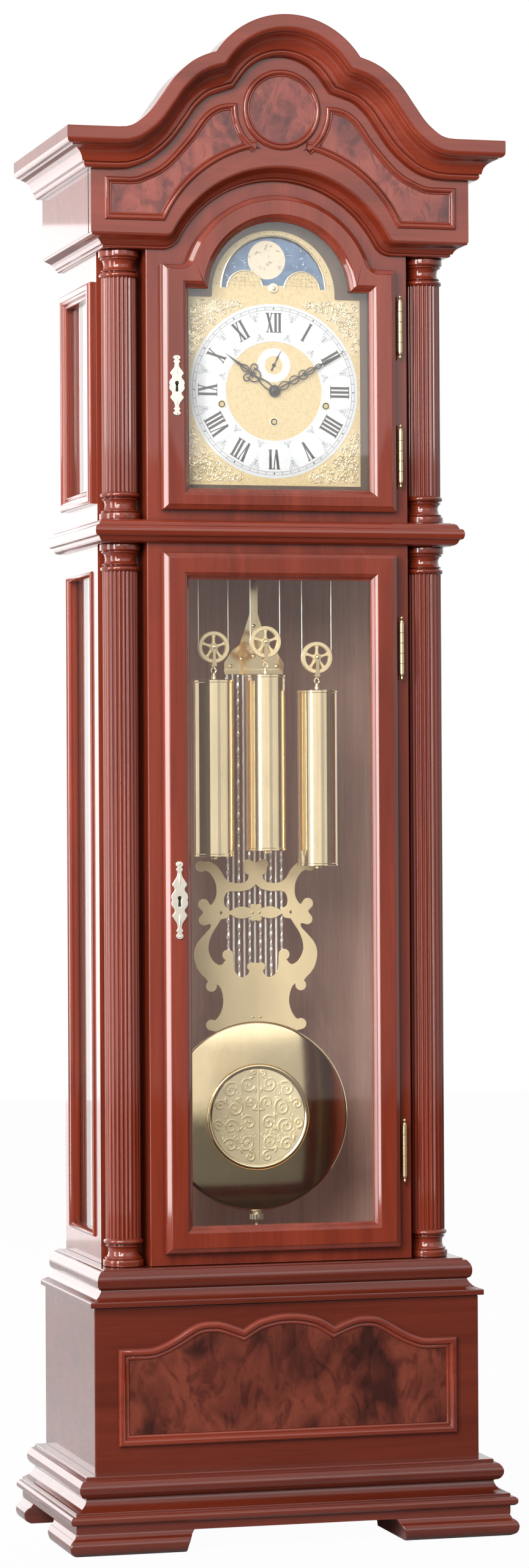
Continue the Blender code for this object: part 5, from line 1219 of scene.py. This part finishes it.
def globeLines(bm, cx, cz, radius, face):  # meridians and parallels engraved on each half disc
    for k in range(-3, 4):
        bow = k / 3.2
        points = []
        for i in range(13):
            t = i / 12
            z = radius * 0.93 * math.sin(t * math.pi / 2)
            x = bow * math.sqrt(max(0.0, (radius * 0.93) ** 2 - z * z))
            points.append((cx + x, face, cz + z))
        wire(bm, points, 0.00022, 4, 0.5)
    for k in range(1, 5):
        z = radius * 0.2 * k
        reach = math.sqrt(max(0.0, (radius * 0.93) ** 2 - z * z))
        wire(bm, [(cx + reach * (-1 + 2 * i / 12), face, cz + z - 0.0012 * (1 - (2 * i / 12 - 1) ** 2)) for i in range(13)],
             0.00022, 4, 0.5)
    wire(bm, [(a, face, b) for a, b in arc((cx, cz), radius * 0.95, 28, 2, 178)], 0.0003, 4, 0.5)
    for k in range(26):  # land on the globes
        a, b = dice.uniform(-0.75, 0.75), dice.uniform(0.12, 0.80)
        if math.hypot(a, b) < 0.85:
            wire(bm, scroll((cx + a * radius, cz + b * radius), dice.uniform(0.0008, 0.0020), dice.uniform(0, 360), 0.8,
                            face, 8, 0.4), 0.00026, 4, 0.5)


def makeMoonArch():
    front = dial["front"]
    bm = bmesh.new()
    for sign in (-1, 1):
        globeLines(bm, sign * 0.041, 1.7330, 0.0255, front - 0.00004)
    for k in range(13):  # pin dots round the arch
        t = math.radians(6 + 168 * k / 12)
        turned(bm, [(0.0009, front + 0.0002), (0.0009, front - 0.0002), (1e-4, front - 0.0003)],
               (0.0815 * math.cos(t), 1.7300 + 0.0815 * math.sin(t)), "y", 10)
    keep("arch.engraving", bm, engraving, "case")
    bm = bmesh.new()
    bead = [(0.0742, front + 0.0002), (0.0742, front - 0.0007), (0.0750, front - 0.0011), (0.0760, front - 0.0007),
            (0.0760, front + 0.0002)]
    skin(bm, [[(r * math.cos(t), h, dial["moonZ"] + r * math.sin(t)) for r, h in bead]
              for t in [math.radians(1 + 178 * i / 60) for i in range(61)]])
    for sign in (-1, 1):
        skin(bm, [[(sign * 0.041 + (r - 0.0492) * math.cos(t), h, 1.7315 + (r - 0.0492) * math.sin(t)) for r, h in bead]
                  for t in [math.radians(6 + 168 * i / 32) for i in range(33)]])
    turned(bm, [(0.0072, front + 0.0002), (0.0072, front - 0.0010), (0.0060, front - 0.0016), (0.0034, front - 0.0016),
                (0.0032, front - 0.0026), (0.0018, front - 0.0036), (1e-4, front - 0.0038)], (0.0, 1.7335), "y", 28)
    keep("arch.beads", bm, castGold, "case")

    disc = dial["back"] + gap  # the sky turns behind the plate
    bm = bmesh.new()
    for mx, mz in ((-0.009, 0.044), (0.009, -0.044)):
        turned(bm, [(1e-4, disc + 0.0001), (0.0270, disc + 0.0001), (0.0270, disc - 0.00008), (0.0264, disc - 0.00014),
                    (1e-4, disc - 0.00014)], (mx, dial["axisZ"] + mz), "y", 56)
    keep("moons", bm, moonCream, "moon_disc")
    bm = bmesh.new()
    spots = []
    for k in range(150):
        r, t = 0.012 + 0.060 * math.sqrt(dice.random()), dice.uniform(0, math.tau)
        x, z = r * math.cos(t), r * math.sin(t)
        if any(math.hypot(x - mx, z - mz) < 0.0295 for mx, mz in ((-0.009, 0.044), (0.009, -0.044))):
            continue
        spots.append((x, z))
        size = dice.choice((0.00040, 0.00055, 0.00060, 0.00095))
        turned(bm, [(size, disc + 0.00005), (size, disc - 0.00006), (1e-4, disc - 0.0001)], (x, dial["axisZ"] + z), "y", 6)
    for a in spots[::2]:  # thin lines join some neighbours
        near = sorted((b for b in spots if b != a), key=lambda b: math.dist(a, b))[0]
        if math.dist(a, near) < 0.012:
            wire(bm, [(a[0], disc - 0.00003, dial["axisZ"] + a[1]), (near[0], disc - 0.00003, dial["axisZ"] + near[1])],
                 0.00018, 4, 0.4)
    keep("stars", bm, starLight, "moon_disc")


def makeDial():
    makeChapter()
    makeSpandrels()
    makeMoonArch()
    for slot in nodes["dial_plate"].material_slots:
        slot.material = dialGold
    for slot in nodes["moon_disc"].material_slots:
        slot.material = skyBlue


makeDial()
print("dial made")


# hands

hands = {"minute": {"angle": 60.7, "long": 0.119, "front": -0.0904}, "hour": {"angle": 306.0, "long": 0.087, "front": -0.0882},
         "seconds": {"angle": 26.0, "long": 0.0225, "front": -0.0858}, "thick": 0.0008}


def placedHand(points, angle, centreZ, y):
    t = math.radians(angle)
    return [(x * math.cos(t) + z * math.sin(t), y, centreZ + z * math.cos(t) - x * math.sin(t)) for x, z in points]


def blade(bm, right, angle, centreZ, front):
    loop = [(x, z) for x, y, z in placedHand(bothSides(right), angle, centreZ, 0)]
    sawn(bm, [loop], front, front + hands["thick"])


def curls(bm, runs, angle, centreZ, front, radius=0.0008):
    y = front + hands["thick"] / 2
    for run in runs:
        for sign in (-1, 1):
            wire(bm, placedHand([(sign * x, z) for x, z in flow(run, 5)], angle, centreZ, y), radius, 8, 0.5)


def makeHands():
    z, mid = dial["z"], dial["secondsZ"]
    m = hands["minute"]
    bm = bmesh.new()
    front = m["front"]
    turned(bm, [(0.0062, front), (0.0062, front + 0.0008), (0.0030, front + 0.0008), (0.0030, -0.0581)], (0, z), "y", 28)
    turned(bm, [(1e-4, front - 0.0042), (0.0014, front - 0.0041), (0.0028, front - 0.0030), (0.0034, front - 0.0016),
                (0.0034, front - 0.0006), (0.0046, front), (1e-4, front + 0.0002)], (0, z), "y", 28)
    chain = [[(0.0010, 0.0050), (0.0046, 0.0120), (0.0052, 0.0170), (0.0022, 0.0220), (0.0004, 0.0245)],
             [(0.0004, 0.0245), (0.0044, 0.0280), (0.0054, 0.0330), (0.0030, 0.0375), (0.0005, 0.0400)],
             [(0.0005, 0.0400), (0.0050, 0.0430), (0.0062, 0.0475), (0.0046, 0.0515), (0.0020, 0.0505), (0.0024, 0.0470)],
             [(0.0005, 0.0480), (0.0030, 0.0540), (0.0040, 0.0590), (0.0022, 0.0640), (0.0005, 0.0665)],
             [(0.0005, 0.0665), (0.0026, 0.0700), (0.0028, 0.0735), (0.0010, 0.0770), (0.0003, 0.0790)]]
    curls(bm, chain, m["angle"], z, front)
    blade(bm, [(0.0, 0.004), (0.0011, 0.006), (0.0009, 0.076), (0.0018, 0.082), (0.0021, 0.087), (0.0012, 0.094),
               (0.0007, 0.108), (0.0, m["long"])], m["angle"], z, front)
    keep("minute.hand", bm, handSteel, "minute_hand", ["minute_hand"])

    h = hands["hour"]
    front = h["front"]
    bm = bmesh.new()
    ringed(bm, [(0.0038, front), (0.0084, front), (0.0084, front + 0.0008), (0.0052, front + 0.0008), (0.0052, -0.0625),
                (0.0038, -0.0625)], (0, z), "y", 32)
    curls(bm, [[(0.0036, 0.0070), (0.0040, 0.0140), (0.0030, 0.0220), (0.0020, 0.0270)],
               [(0.0010, 0.0270), (0.0056, 0.0290), (0.0085, 0.0335), (0.0080, 0.0390), (0.0042, 0.0405), (0.0030, 0.0375),
                (0.0048, 0.0355)],
               [(0.0012, 0.0370), (0.0030, 0.0440), (0.0080, 0.0470), (0.0124, 0.0460), (0.0136, 0.0415), (0.0108, 0.0385),
                (0.0082, 0.0402), (0.0090, 0.0428)],
               [(0.0006, 0.0450), (0.0036, 0.0490), (0.0040, 0.0540), (0.0018, 0.0590), (0.0004, 0.0615)]],
          h["angle"], z, front, 0.00085)
    blade(bm, [(0.0, 0.024), (0.0016, 0.027), (0.0012, 0.046), (0.0010, 0.058), (0.0020, 0.0635), (0.0011, 0.070),
               (0.0006, 0.079), (0.0, h["long"])], h["angle"], z, front)
    keep("hour.hand", bm, handSteel, "hour_hand", ["hour_hand"])

    s = hands["seconds"]
    front = s["front"]
    bm = bmesh.new()
    turned(bm, [(1e-4, front - 0.0003), (0.0024, front - 0.0002), (0.0026, front + 0.0002), (0.0026, front + 0.0008),
                (0.0015, front + 0.0009), (0.0015, -0.0011)], (0, mid), "y", 20)
    blade(bm, [(0.0, -0.0090), (0.0013, -0.0078), (0.0007, -0.0040), (0.0005, 0.0060), (0.0011, 0.0120), (0.0003, 0.0165),
               (0.0, s["long"])], s["angle"], mid, front)
    teeth = []
    for i in range(20):
        teeth += arc((0, mid), 0.0155, 2, 18 * i, 18 * (i + 0.08)) + arc((0, mid), 0.0130, 1, 18 * (i + 0.55), 0)
    sawn(bm, [teeth], -0.0218, -0.0202)
    keep("seconds.hand", bm, handSteel, "seconds_hand", ["seconds_hand"])


makeHands()
print("hands made")


# weights, pulleys and cables

drive = {"y": -0.0305, "names": ("left", "centre", "right"), "xs": (-0.075, 0.0, 0.075), "pulleyZs": (1.236, 1.2437, 1.222),
         "arborZs": (1.571, 1.5476, 1.571), "radius": 0.029, "long": 0.247, "drop": 0.046, "seat": 1.4872, "offset": 0.0214}


def makeWeight(name, x, pulleyZ):
    y, r = drive["y"], drive["radius"]
    top = pulleyZ - drive["drop"]
    low = top - drive["long"]
    shell = r - 0.0007
    profile = [(1e-4, low - 0.0040), (0.0030, low - 0.0040), (0.0045, low - 0.0030), (0.0045, low - 0.0012), (0.0036, low - 0.0004),
               (0.0060, low), (r - 0.0010, low), (r, low + 0.0008), (r, low + 0.0034), (shell, low + 0.0042),
               (shell, top - 0.0042), (r, top - 0.0034), (r, top - 0.0008), (r - 0.0010, top), (0.0056, top),
               (0.0040, top + 0.0010), (0.0034, top + 0.0030), (0.0034, top + 0.0060), (0.0026, top + 0.0066),
               (0.0024, top + 0.0090), (0.0010, top + 0.0096)]
    bm = bmesh.new()
    turned(bm, profile, (x, y), "z", 64)
    eye = top + 0.0132  # hook over a stem eye, and a strap on each face of the pulley
    hookRing = [(x + 0.0036 * math.cos(t), y, eye + 0.0036 * math.sin(t))
                for t in [math.radians(-80 + 320 * i / 20) for i in range(21)]]
    wire(bm, hookRing, 0.0012, 8)
    wire(bm, [(x, y, eye + 0.0030), (x, y, top + 0.0215)], 0.0022, 10)
    inner = 0.0042
    for sign in (-1, 1):
        strap = [(0.0030, top + 0.0190), (0.0036, top + 0.0215), (0.0026, top + 0.026), (0.0024, top + 0.038), (0.0036, top + 0.043)]
        strap += arc((0, pulleyZ), 0.0042, 8, -45, 90)
        ys = sorted((y + sign * inner, y + sign * (inner + 0.0013)))
        sawn(bm, [[(x + a, b) for a, b in bothSides(strap)]], ys[0], ys[1], 0.0003, 1)
    block(bm, (x - 0.0036, y - inner - 0.0010, top + 0.0186), (x + 0.0036, y + inner + 0.0010, top + 0.0210), 0.0006)
    turned(bm, [(0.0008, y - inner - 0.0022), (0.0024, y - inner - 0.0016), (0.0020, y - inner), (0.0020, y + inner),
                (0.0024, y + inner + 0.0016), (0.0008, y + inner + 0.0022)], (x, pulleyZ), "y", 20)
    keep(f"weight.{name}", bm, polishedBrass, f"weight_{name}", [f"weight_{name}"], 30)


def makePulley(name, x, z):
    y, half = drive["y"], 0.0038
    bm = bmesh.new()
    section = [(0.0168, -half * 0.8), (0.0176, -half), (0.0216, -half), (0.0223, -half * 0.8), (0.0223, -half * 0.62),
               (0.0206, -half * 0.2), (0.0203, 0.0), (0.0206, half * 0.2), (0.0223, half * 0.62), (0.0223, half * 0.8),
               (0.0216, half), (0.0176, half), (0.0168, half * 0.8)]
    ringed(bm, [(r, y + h) for r, h in section], (x, z), "y", 56)
    ringed(bm, [(0.0024, y - half), (0.0052, y - half), (0.0060, y - half * 0.7), (0.0060, y + half * 0.7), (0.0052, y + half),
                (0.0024, y + half)], (x, z), "y", 32)
    for k in range(5):
        t = math.radians(90 + 72 * k)
        along, across = Vector((math.cos(t), math.sin(t))), Vector((-math.sin(t), math.cos(t)))
        outline = []
        for d, w in ((0.0050, 0.0026), (0.0085, 0.0017), (0.0130, 0.0017), (0.0172, 0.0030)):
            outline.append((d, w))
        loop = [(x + along.x * d + across.x * w, z + along.y * d + across.y * w) for d, w in outline]
        loop += [(x + along.x * d - across.x * w, z + along.y * d - across.y * w) for d, w in reversed(outline)]
        sawn(bm, [loop], y - half * 0.72, y + half * 0.72, 0.0005, 2)
    keep(f"pulley.{name}", bm, pulleyBrass, f"pulley_{name}", [f"pulley_{name}"], 34)


def makeCable(name, x, pulleyZ, arborZ):
    y, off = drive["y"], drive["offset"]
    points = [(x - off, y, drive["seat"] - gap - (drive["seat"] - gap - pulleyZ) * i / 16) for i in range(16)]
    points += [(x + off * math.cos(t), y, pulleyZ + off * math.sin(t)) for t in [math.radians(180 + 180 * i / 24) for i in range(25)]]
    points += [(x + off, y, pulleyZ + (arborZ - pulleyZ) * i / 20) for i in range(1, 21)]
    bm = bmesh.new()
    wire(bm, points, 0.0008, 8)
    cable = keep(f"cable.{name}", bm, cableSteel, "case", [f"cable_{name}"])
    cable.parent = None
    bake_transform(cable)


for name, x, pulleyZ, arborZ in zip(drive["names"], drive["xs"], drive["pulleyZs"], drive["arborZs"]):
    makeWeight(name, x, pulleyZ)
    makePulley(name, x, pulleyZ)
    makeCable(name, x, pulleyZ, arborZ)
    for slot in nodes[f"drum_{name}"].material_slots:
        slot.material = bellBrass
print("weights and pulleys made")


# pendulum: strip, fan, rods, lyre, bob and nut

pendulum = {"y": 0.0325, "pivot": 1.650, "fanHigh": 1.287, "fanLow": 1.204, "gridLow": 0.765, "rods": 11, "spacing": 0.0078,
            "strip": 0.006, "bobZ": 0.575, "bobR": 0.1335, "beadPitch": 0.0228}


def makeRods():
    y = pendulum["y"]
    reach = pendulum["spacing"] * (pendulum["rods"] - 1) / 2
    low, high = pendulum["gridLow"] - 0.004, pendulum["fanLow"]
    bm = bmesh.new()
    for i in range(pendulum["rods"]):
        x = -reach + pendulum["spacing"] * i
        if i % 2:
            turned(bm, [(0.0018, low), (0.0018, high)], (x, y), "z", 16)
            continue
        rings = []
        count = round((high - low) / pendulum["beadPitch"]) * 8
        for k in range(count + 1):  # a square bar, twisted, that swells into beads
            t = k / count
            z = low + (high - low) * t
            swell = max(0.0, math.cos(math.tau * ((z - low) / pendulum["beadPitch"] + 0.23 * i))) ** 3
            r = 0.00135 + 0.00125 * swell
            turn = math.tau * 0.5 * (z - low) / pendulum["beadPitch"]
            ring = []
            for c in range(8):
                a = math.tau * c / 8
                square = 1.0 + (0.22 * math.cos(4 * a)) * (1 - swell)
                ring.append((x + r * square * math.cos(a + turn), y + r * square * math.sin(a + turn), z))
            rings.append(ring)
        skin(bm, rings)
    keep("grid.rods", bm, rodSteel, "pendulum", (), 50)


def makeRodPlate():
    y, pivot, high, low = pendulum["y"], pendulum["pivot"], pendulum["fanHigh"], pendulum["fanLow"]
    reach = pendulum["spacing"] * (pendulum["rods"] - 1) / 2
    strip, deep, tail = pendulum["strip"], 0.003, 0.0022
    right = [(reach + 0.0045, low), (reach + 0.0045, low + 0.012)]
    right += flow([(reach + 0.0010, low + 0.018), (reach - 0.004, low + 0.026), (reach * 0.78, low + 0.0315), (reach * 0.55, low + 0.038),
                   (0.0170, low + 0.050), (0.0130, high - 0.022), (0.0085, high - 0.008), (strip, high)], 4)
    right += [(strip, pivot)] + arc((0, pivot), strip, 10, 8, 82) + [(0.0, pivot + strip)]
    bm = bmesh.new()
    sawn(bm, [bothSides(right), arc((0, pivot), 0.0019, 16, 0, 360)], y - 0.001, y + 0.001, 0.0003, 1)
    rail = reach + 0.004
    grid = pendulum["gridLow"]
    block(bm, (-rail, y - deep, low - 0.004), (rail, y + deep, low + 0.004), 0.0006)
    block(bm, (-rail, y - tail, grid - 0.012), (rail, y + deep, grid), 0.0006)
    for x, z in ((0.0, high - 0.018), (0.0, low + 0.022), (-0.018, low + 0.018), (0.018, low + 0.018), (-0.034, low + 0.008),
                 (0.034, low + 0.008)):
        turned(bm, [(0.0026, y - 0.0008), (0.0026, y - 0.0016), (0.0018, y - 0.0021), (1e-4, y - 0.0022)], (x, z), "y", 18)
    tailLow = pendulum["bobZ"] - pendulum["bobR"] + 0.006
    block(bm, (-strip, y - tail, tailLow), (strip, y + tail - 0.0001, grid - 0.006), 0.0004)
    thread = []
    for k in range(60):
        z = tailLow - 0.042 + 0.046 * k / 59
        thread.append((0.0020 if k % 2 else 0.0017, z))
    turned(bm, thread, (0, y), "z", 16)
    keep("pendulum.strip", bm, spunBrass, "pendulum", ["pendulum_rod"])


def lyreLoops():
    foot0, curl = pendulum["bobR"] + 0.0006, 0.0078
    right = [(foot0 * math.sin(math.radians(a)), foot0 * math.cos(math.radians(a))) for a in range(0, 27, 2)]
    right += arc((0.0654, 0.1300), curl, 16, -75, 125)
    right += flow([(0.0568, 0.1392), (0.0515, 0.1478), (0.0482, 0.1600), (0.0488, 0.1715), (0.0520, 0.1815), (0.0565, 0.1868)], 4)
    right += arc((0.0654, 0.1848), curl, 18, 165, 415)
    right += flow([(0.0738, 0.1965), (0.0800, 0.2022), (0.0862, 0.2120), (0.0898, 0.2268), (0.0885, 0.2385), (0.0839, 0.2478),
                   (0.0775, 0.2550), (0.0715, 0.2615), (0.0672, 0.2660), (0.0655, 0.2702), (0.0665, 0.2728)], 4)
    right += arc((0.0752, 0.2783), curl, 12, -120, 55)
    right += [(0.0765, 0.2893)]
    right += arc((0.0763, 0.3003), curl, 14, -60, 165)
    right += flow([(0.0655, 0.2990), (0.0612, 0.3040), (0.0580, 0.3110), (0.0570, 0.3190), (0.0580, 0.3290), (0.0618, 0.3380),
                   (0.0668, 0.3445), (0.0720, 0.3478)], 4)
    right += arc((0.0795, 0.3540), curl, 14, -125, 125)
    right += flow([(0.0700, 0.3612), (0.0635, 0.3590), (0.0560, 0.3535), (0.0500, 0.3460), (0.0455, 0.3380), (0.0395, 0.3325),
                   (0.0320, 0.3302), (0.0240, 0.3300), (0.0165, 0.3312), (0.0115, 0.3350), (0.0102, 0.3400)], 4)
    right += arc((0.0110, 0.3470), 0.0050, 6, -100, -10)
    right += arc((0.0112, 0.3565), curl - 0.0006, 12, -40, 140) + [(0.0, 0.3590)]
    midTop = flow([(0.0, 0.2990), (0.0040, 0.3004), (0.0074, 0.2992), (0.0084, 0.2962), (0.0072, 0.2938), (0.0112, 0.2952),
                   (0.0200, 0.2968), (0.0285, 0.2954), (0.0352, 0.2920), (0.0385, 0.2906), (0.0402, 0.2946), (0.0440, 0.2964)], 4)
    upper = midTop + flow([(0.0462, 0.3000), (0.0468, 0.3060), (0.0452, 0.3125), (0.0415, 0.3170), (0.0350, 0.3185),
                           (0.0260, 0.3182), (0.0170, 0.3190), (0.0090, 0.3212), (0.0040, 0.3245), (0.0, 0.3285)], 4)
    midLow = [(x, 0.2882 * 2 - z) for x, z in midTop]
    lower = flow([(0.0, 0.2165), (0.0040, 0.2172), (0.0086, 0.2176), (0.0125, 0.2140), (0.0128, 0.2090), (0.0100, 0.2062),
                  (0.0112, 0.2020), (0.0150, 0.1985), (0.0190, 0.1968), (0.0235, 0.1978), (0.0280, 0.2010), (0.0318, 0.2070),
                  (0.0330, 0.2150), (0.0333, 0.2250)], 4)
    lower += arc((0.0412, 0.2285), curl, 14, 165, -70)
    lower += flow([(0.0462, 0.2196), (0.0488, 0.2160), (0.0535, 0.2146), (0.0600, 0.2178), (0.0655, 0.2245), (0.0690, 0.2330),
                   (0.0696, 0.2410), (0.0675, 0.2510), (0.0630, 0.2610), (0.0580, 0.2685), (0.0545, 0.2740), (0.0510, 0.2792)], 4)
    lower += list(reversed(midLow))
    loops = [bothSides(right), bothSides(upper), bothSides(lower)]
    for sign in (-1, 1):  # small three-cornered piercings beside the bar
        loops.append([(sign * x, z) for x, z in ((0.0488, 0.2882), (0.0518, 0.2850), (0.0528, 0.2882), (0.0518, 0.2914))])
    return [[(x, pendulum["bobZ"] + z) for x, z in loop] for loop in loops]


def makeLyre():
    rear = pendulum["y"] - 0.003 - gap
    bm = bmesh.new()
    sawn(bm, lyreLoops(), rear - 0.003, rear, 0.0004, 2)
    keep("lyre", bm, satinBrass, "pendulum", ["lyre"], 40)
    bm = bmesh.new()
    face = rear - 0.003
    for x, z in ((-0.0050, 0.2882), (0.0050, 0.2882), (-0.0055, 0.1405), (0.0055, 0.1405)):
        turned(bm, [(0.0016, face + 0.0004), (0.0016, face - 0.0004), (0.0010, face - 0.0007), (1e-4, face - 0.0008)],
               (x, pendulum["bobZ"] + z), "y", 16)
    keep("lyre.screws", bm, bellBrass, "pendulum")


def makeBob():
    y, r, z = pendulum["y"], pendulum["bobR"], pendulum["bobZ"]
    rear = y - 0.0022 - gap
    m = 0.073
    crownY = rear - 0.0112
    profile = [(1e-4, rear), (r - 0.0035, rear), (r - 0.0010, rear - 0.0004), (r, rear - 0.0014), (r - 0.0004, rear - 0.0026),
               (r - 0.0018, rear - 0.0034)]
    for k in range(26):
        share = 0.978 - (0.978 - 0.562) * k / 25
        profile.append((r * share, rear - 0.0034 - 0.0105 * (1 - share ** 2)))
    profile += [(m + 0.0015, crownY + 0.0016), (m + 0.0008, crownY - 0.0002), (m - 0.0004, crownY - 0.0011), (m - 0.0026, crownY - 0.0011),
                (m - 0.0040, crownY - 0.0002), (m - 0.0052, crownY + 0.0008), (1e-4, crownY + 0.0008)]
    bm = bmesh.new()
    turned(bm, profile, (0, z), "y", 120)
    keep("bob", bm, spunBrass, "pendulum", ["bob"], 50)
    face = crownY + 0.0004
    bm = bmesh.new()
    turned(bm, [(m - 0.0056, crownY + 0.0008), (m - 0.0058, face), (1e-4, face)], (0, z), "y", 96)
    curlsAt = [(0.0155, 0.0470, 0.0118, 200, 1.35), (0.0405, 0.0385, 0.0115, 130, -1.35), (0.0120, 0.0200, 0.0105, 250, -1.3),
               (0.0350, 0.0130, 0.0125, 100, 1.4), (0.0560, 0.0170, 0.0085, 160, -1.2), (0.0150, -0.0085, 0.0110, 30, 1.3),
               (0.0400, -0.0135, 0.0122, 210, -1.4), (0.0580, -0.0090, 0.0078, 260, 1.2), (0.0175, -0.0350, 0.0120, 320, -1.35),
               (0.0415, -0.0395, 0.0108, 20, 1.3), (0.0130, -0.0560, 0.0082, 80, 1.2), (0.0060, 0.0620, 0.0052, 270, 1.1)]
    for cx, cz, size, start, turns in curlsAt:
        for sign in (-1, 1):
            points = [(sign * a, b, z + c) for a, b, c in scroll((cx, cz), size, start, turns, face, 26, 0.80)]
            wire(bm, points, 0.0019, 8, 0.8, lambda t: 1.1 - 0.5 * t)
            tip = points[-1]
            turned(bm, [(0.0022, face + 0.0004), (0.0020, face - 0.0010), (0.0010, face - 0.0016), (1e-4, face - 0.0017)],
                   (tip[0], tip[2]), "y", 12)
            lead = math.radians(start)  # a leaf where the curl springs
            root = (cx + size * math.cos(lead), cz + size * math.sin(lead))
            leaf = [(sign * (root[0] + 0.0100 * i / 7 * math.cos(lead + 1.2 * math.copysign(1, turns))), face,
                     z + root[1] + 0.0100 * i / 7 * math.sin(lead + 1.2 * math.copysign(1, turns))) for i in range(8)]
            if math.hypot(leaf[-1][0], leaf[-1][2] - z) < 0.064:
                wire(bm, leaf, 0.0018, 8, 0.7, lambda t: 0.3 + math.sin(math.pi * (0.1 + 0.9 * t)))
    for _ in range(46):  # small tendrils between the main scrolls
        reach, aim, size = 0.062 * math.sqrt(dice.random()), dice.uniform(-90, 90), dice.uniform(0.0035, 0.0065)
        cx, cz = abs(reach * math.cos(math.radians(aim))), reach * math.sin(math.radians(aim))
        start, turns = dice.uniform(0, 360), dice.choice((-1, 1)) * dice.uniform(0.6, 1.1)
        if size + 0.002 < cx and math.hypot(cx, cz) + size < 0.066:
            for sign in (-1, 1):
                points = [(sign * a, b, z + c) for a, b, c in scroll((cx, cz), size, start, turns, face, 14, 0.7)]
                wire(bm, points, 0.0011, 6, 0.8, lambda t: 1.1 - 0.5 * t)
    stem = flow([(0.0, 0.066), (0.0, 0.040), (0.0, 0.010), (0.0, -0.020), (0.0, -0.060)], 5)
    wire(bm, [(a, face, z + b) for a, b in stem], 0.0016, 8, 0.8, lambda t: 0.7 + 0.5 * math.sin(math.pi * t))
    keep("bob.medallion", bm, medallionBrass, "pendulum", (), 60)


def makeNut():
    y = pendulum["y"]
    top = pendulum["bobZ"] - pendulum["bobR"] - gap
    bm = bmesh.new()
    section = [(0.0023, -0.0125), (0.0092, -0.0125), (0.0100, -0.0117), (0.0100, -0.0048), (0.0090, -0.0038), (0.0066, -0.0030),
               (0.0060, -0.0020), (0.0060, -0.0004), (0.0056, 0.0), (0.0023, 0.0)]
    rings = []
    for k in range(72):  # milled edge
        t = math.tau * k / 72
        rings.append([((r - (0.0004 if k % 3 == 0 and r > 0.0095 else 0.0)) * math.cos(t),
                       y + (r - (0.0004 if k % 3 == 0 and r > 0.0095 else 0.0)) * math.sin(t), top + h) for r, h in section])
    skin(bm, rings, True)
    keep("rating.nut", bm, castBrass, "rating_nut", ["rating_nut"], 30)


makeRods()
makeRodPlate()
makeLyre()
makeBob()
makeNut()
print("pendulum made")


# solids that stay as they are take a finish

carried = {"back_panel": liningLightened, "seat_board": liningLightened, "movement_frame": bellBrass, "anchor": bellBrass,
           "trunk_door_glass": pane, "hood_door_glass": pane, "trunk_side_glass_left": pane, "trunk_side_glass_right": pane,
           "hood_side_glass_left": pane, "hood_side_glass_right": pane}
for node, finish in carried.items():
    for slot in nodes[node].material_slots:
        slot.material = finish
print("carried solids finished")
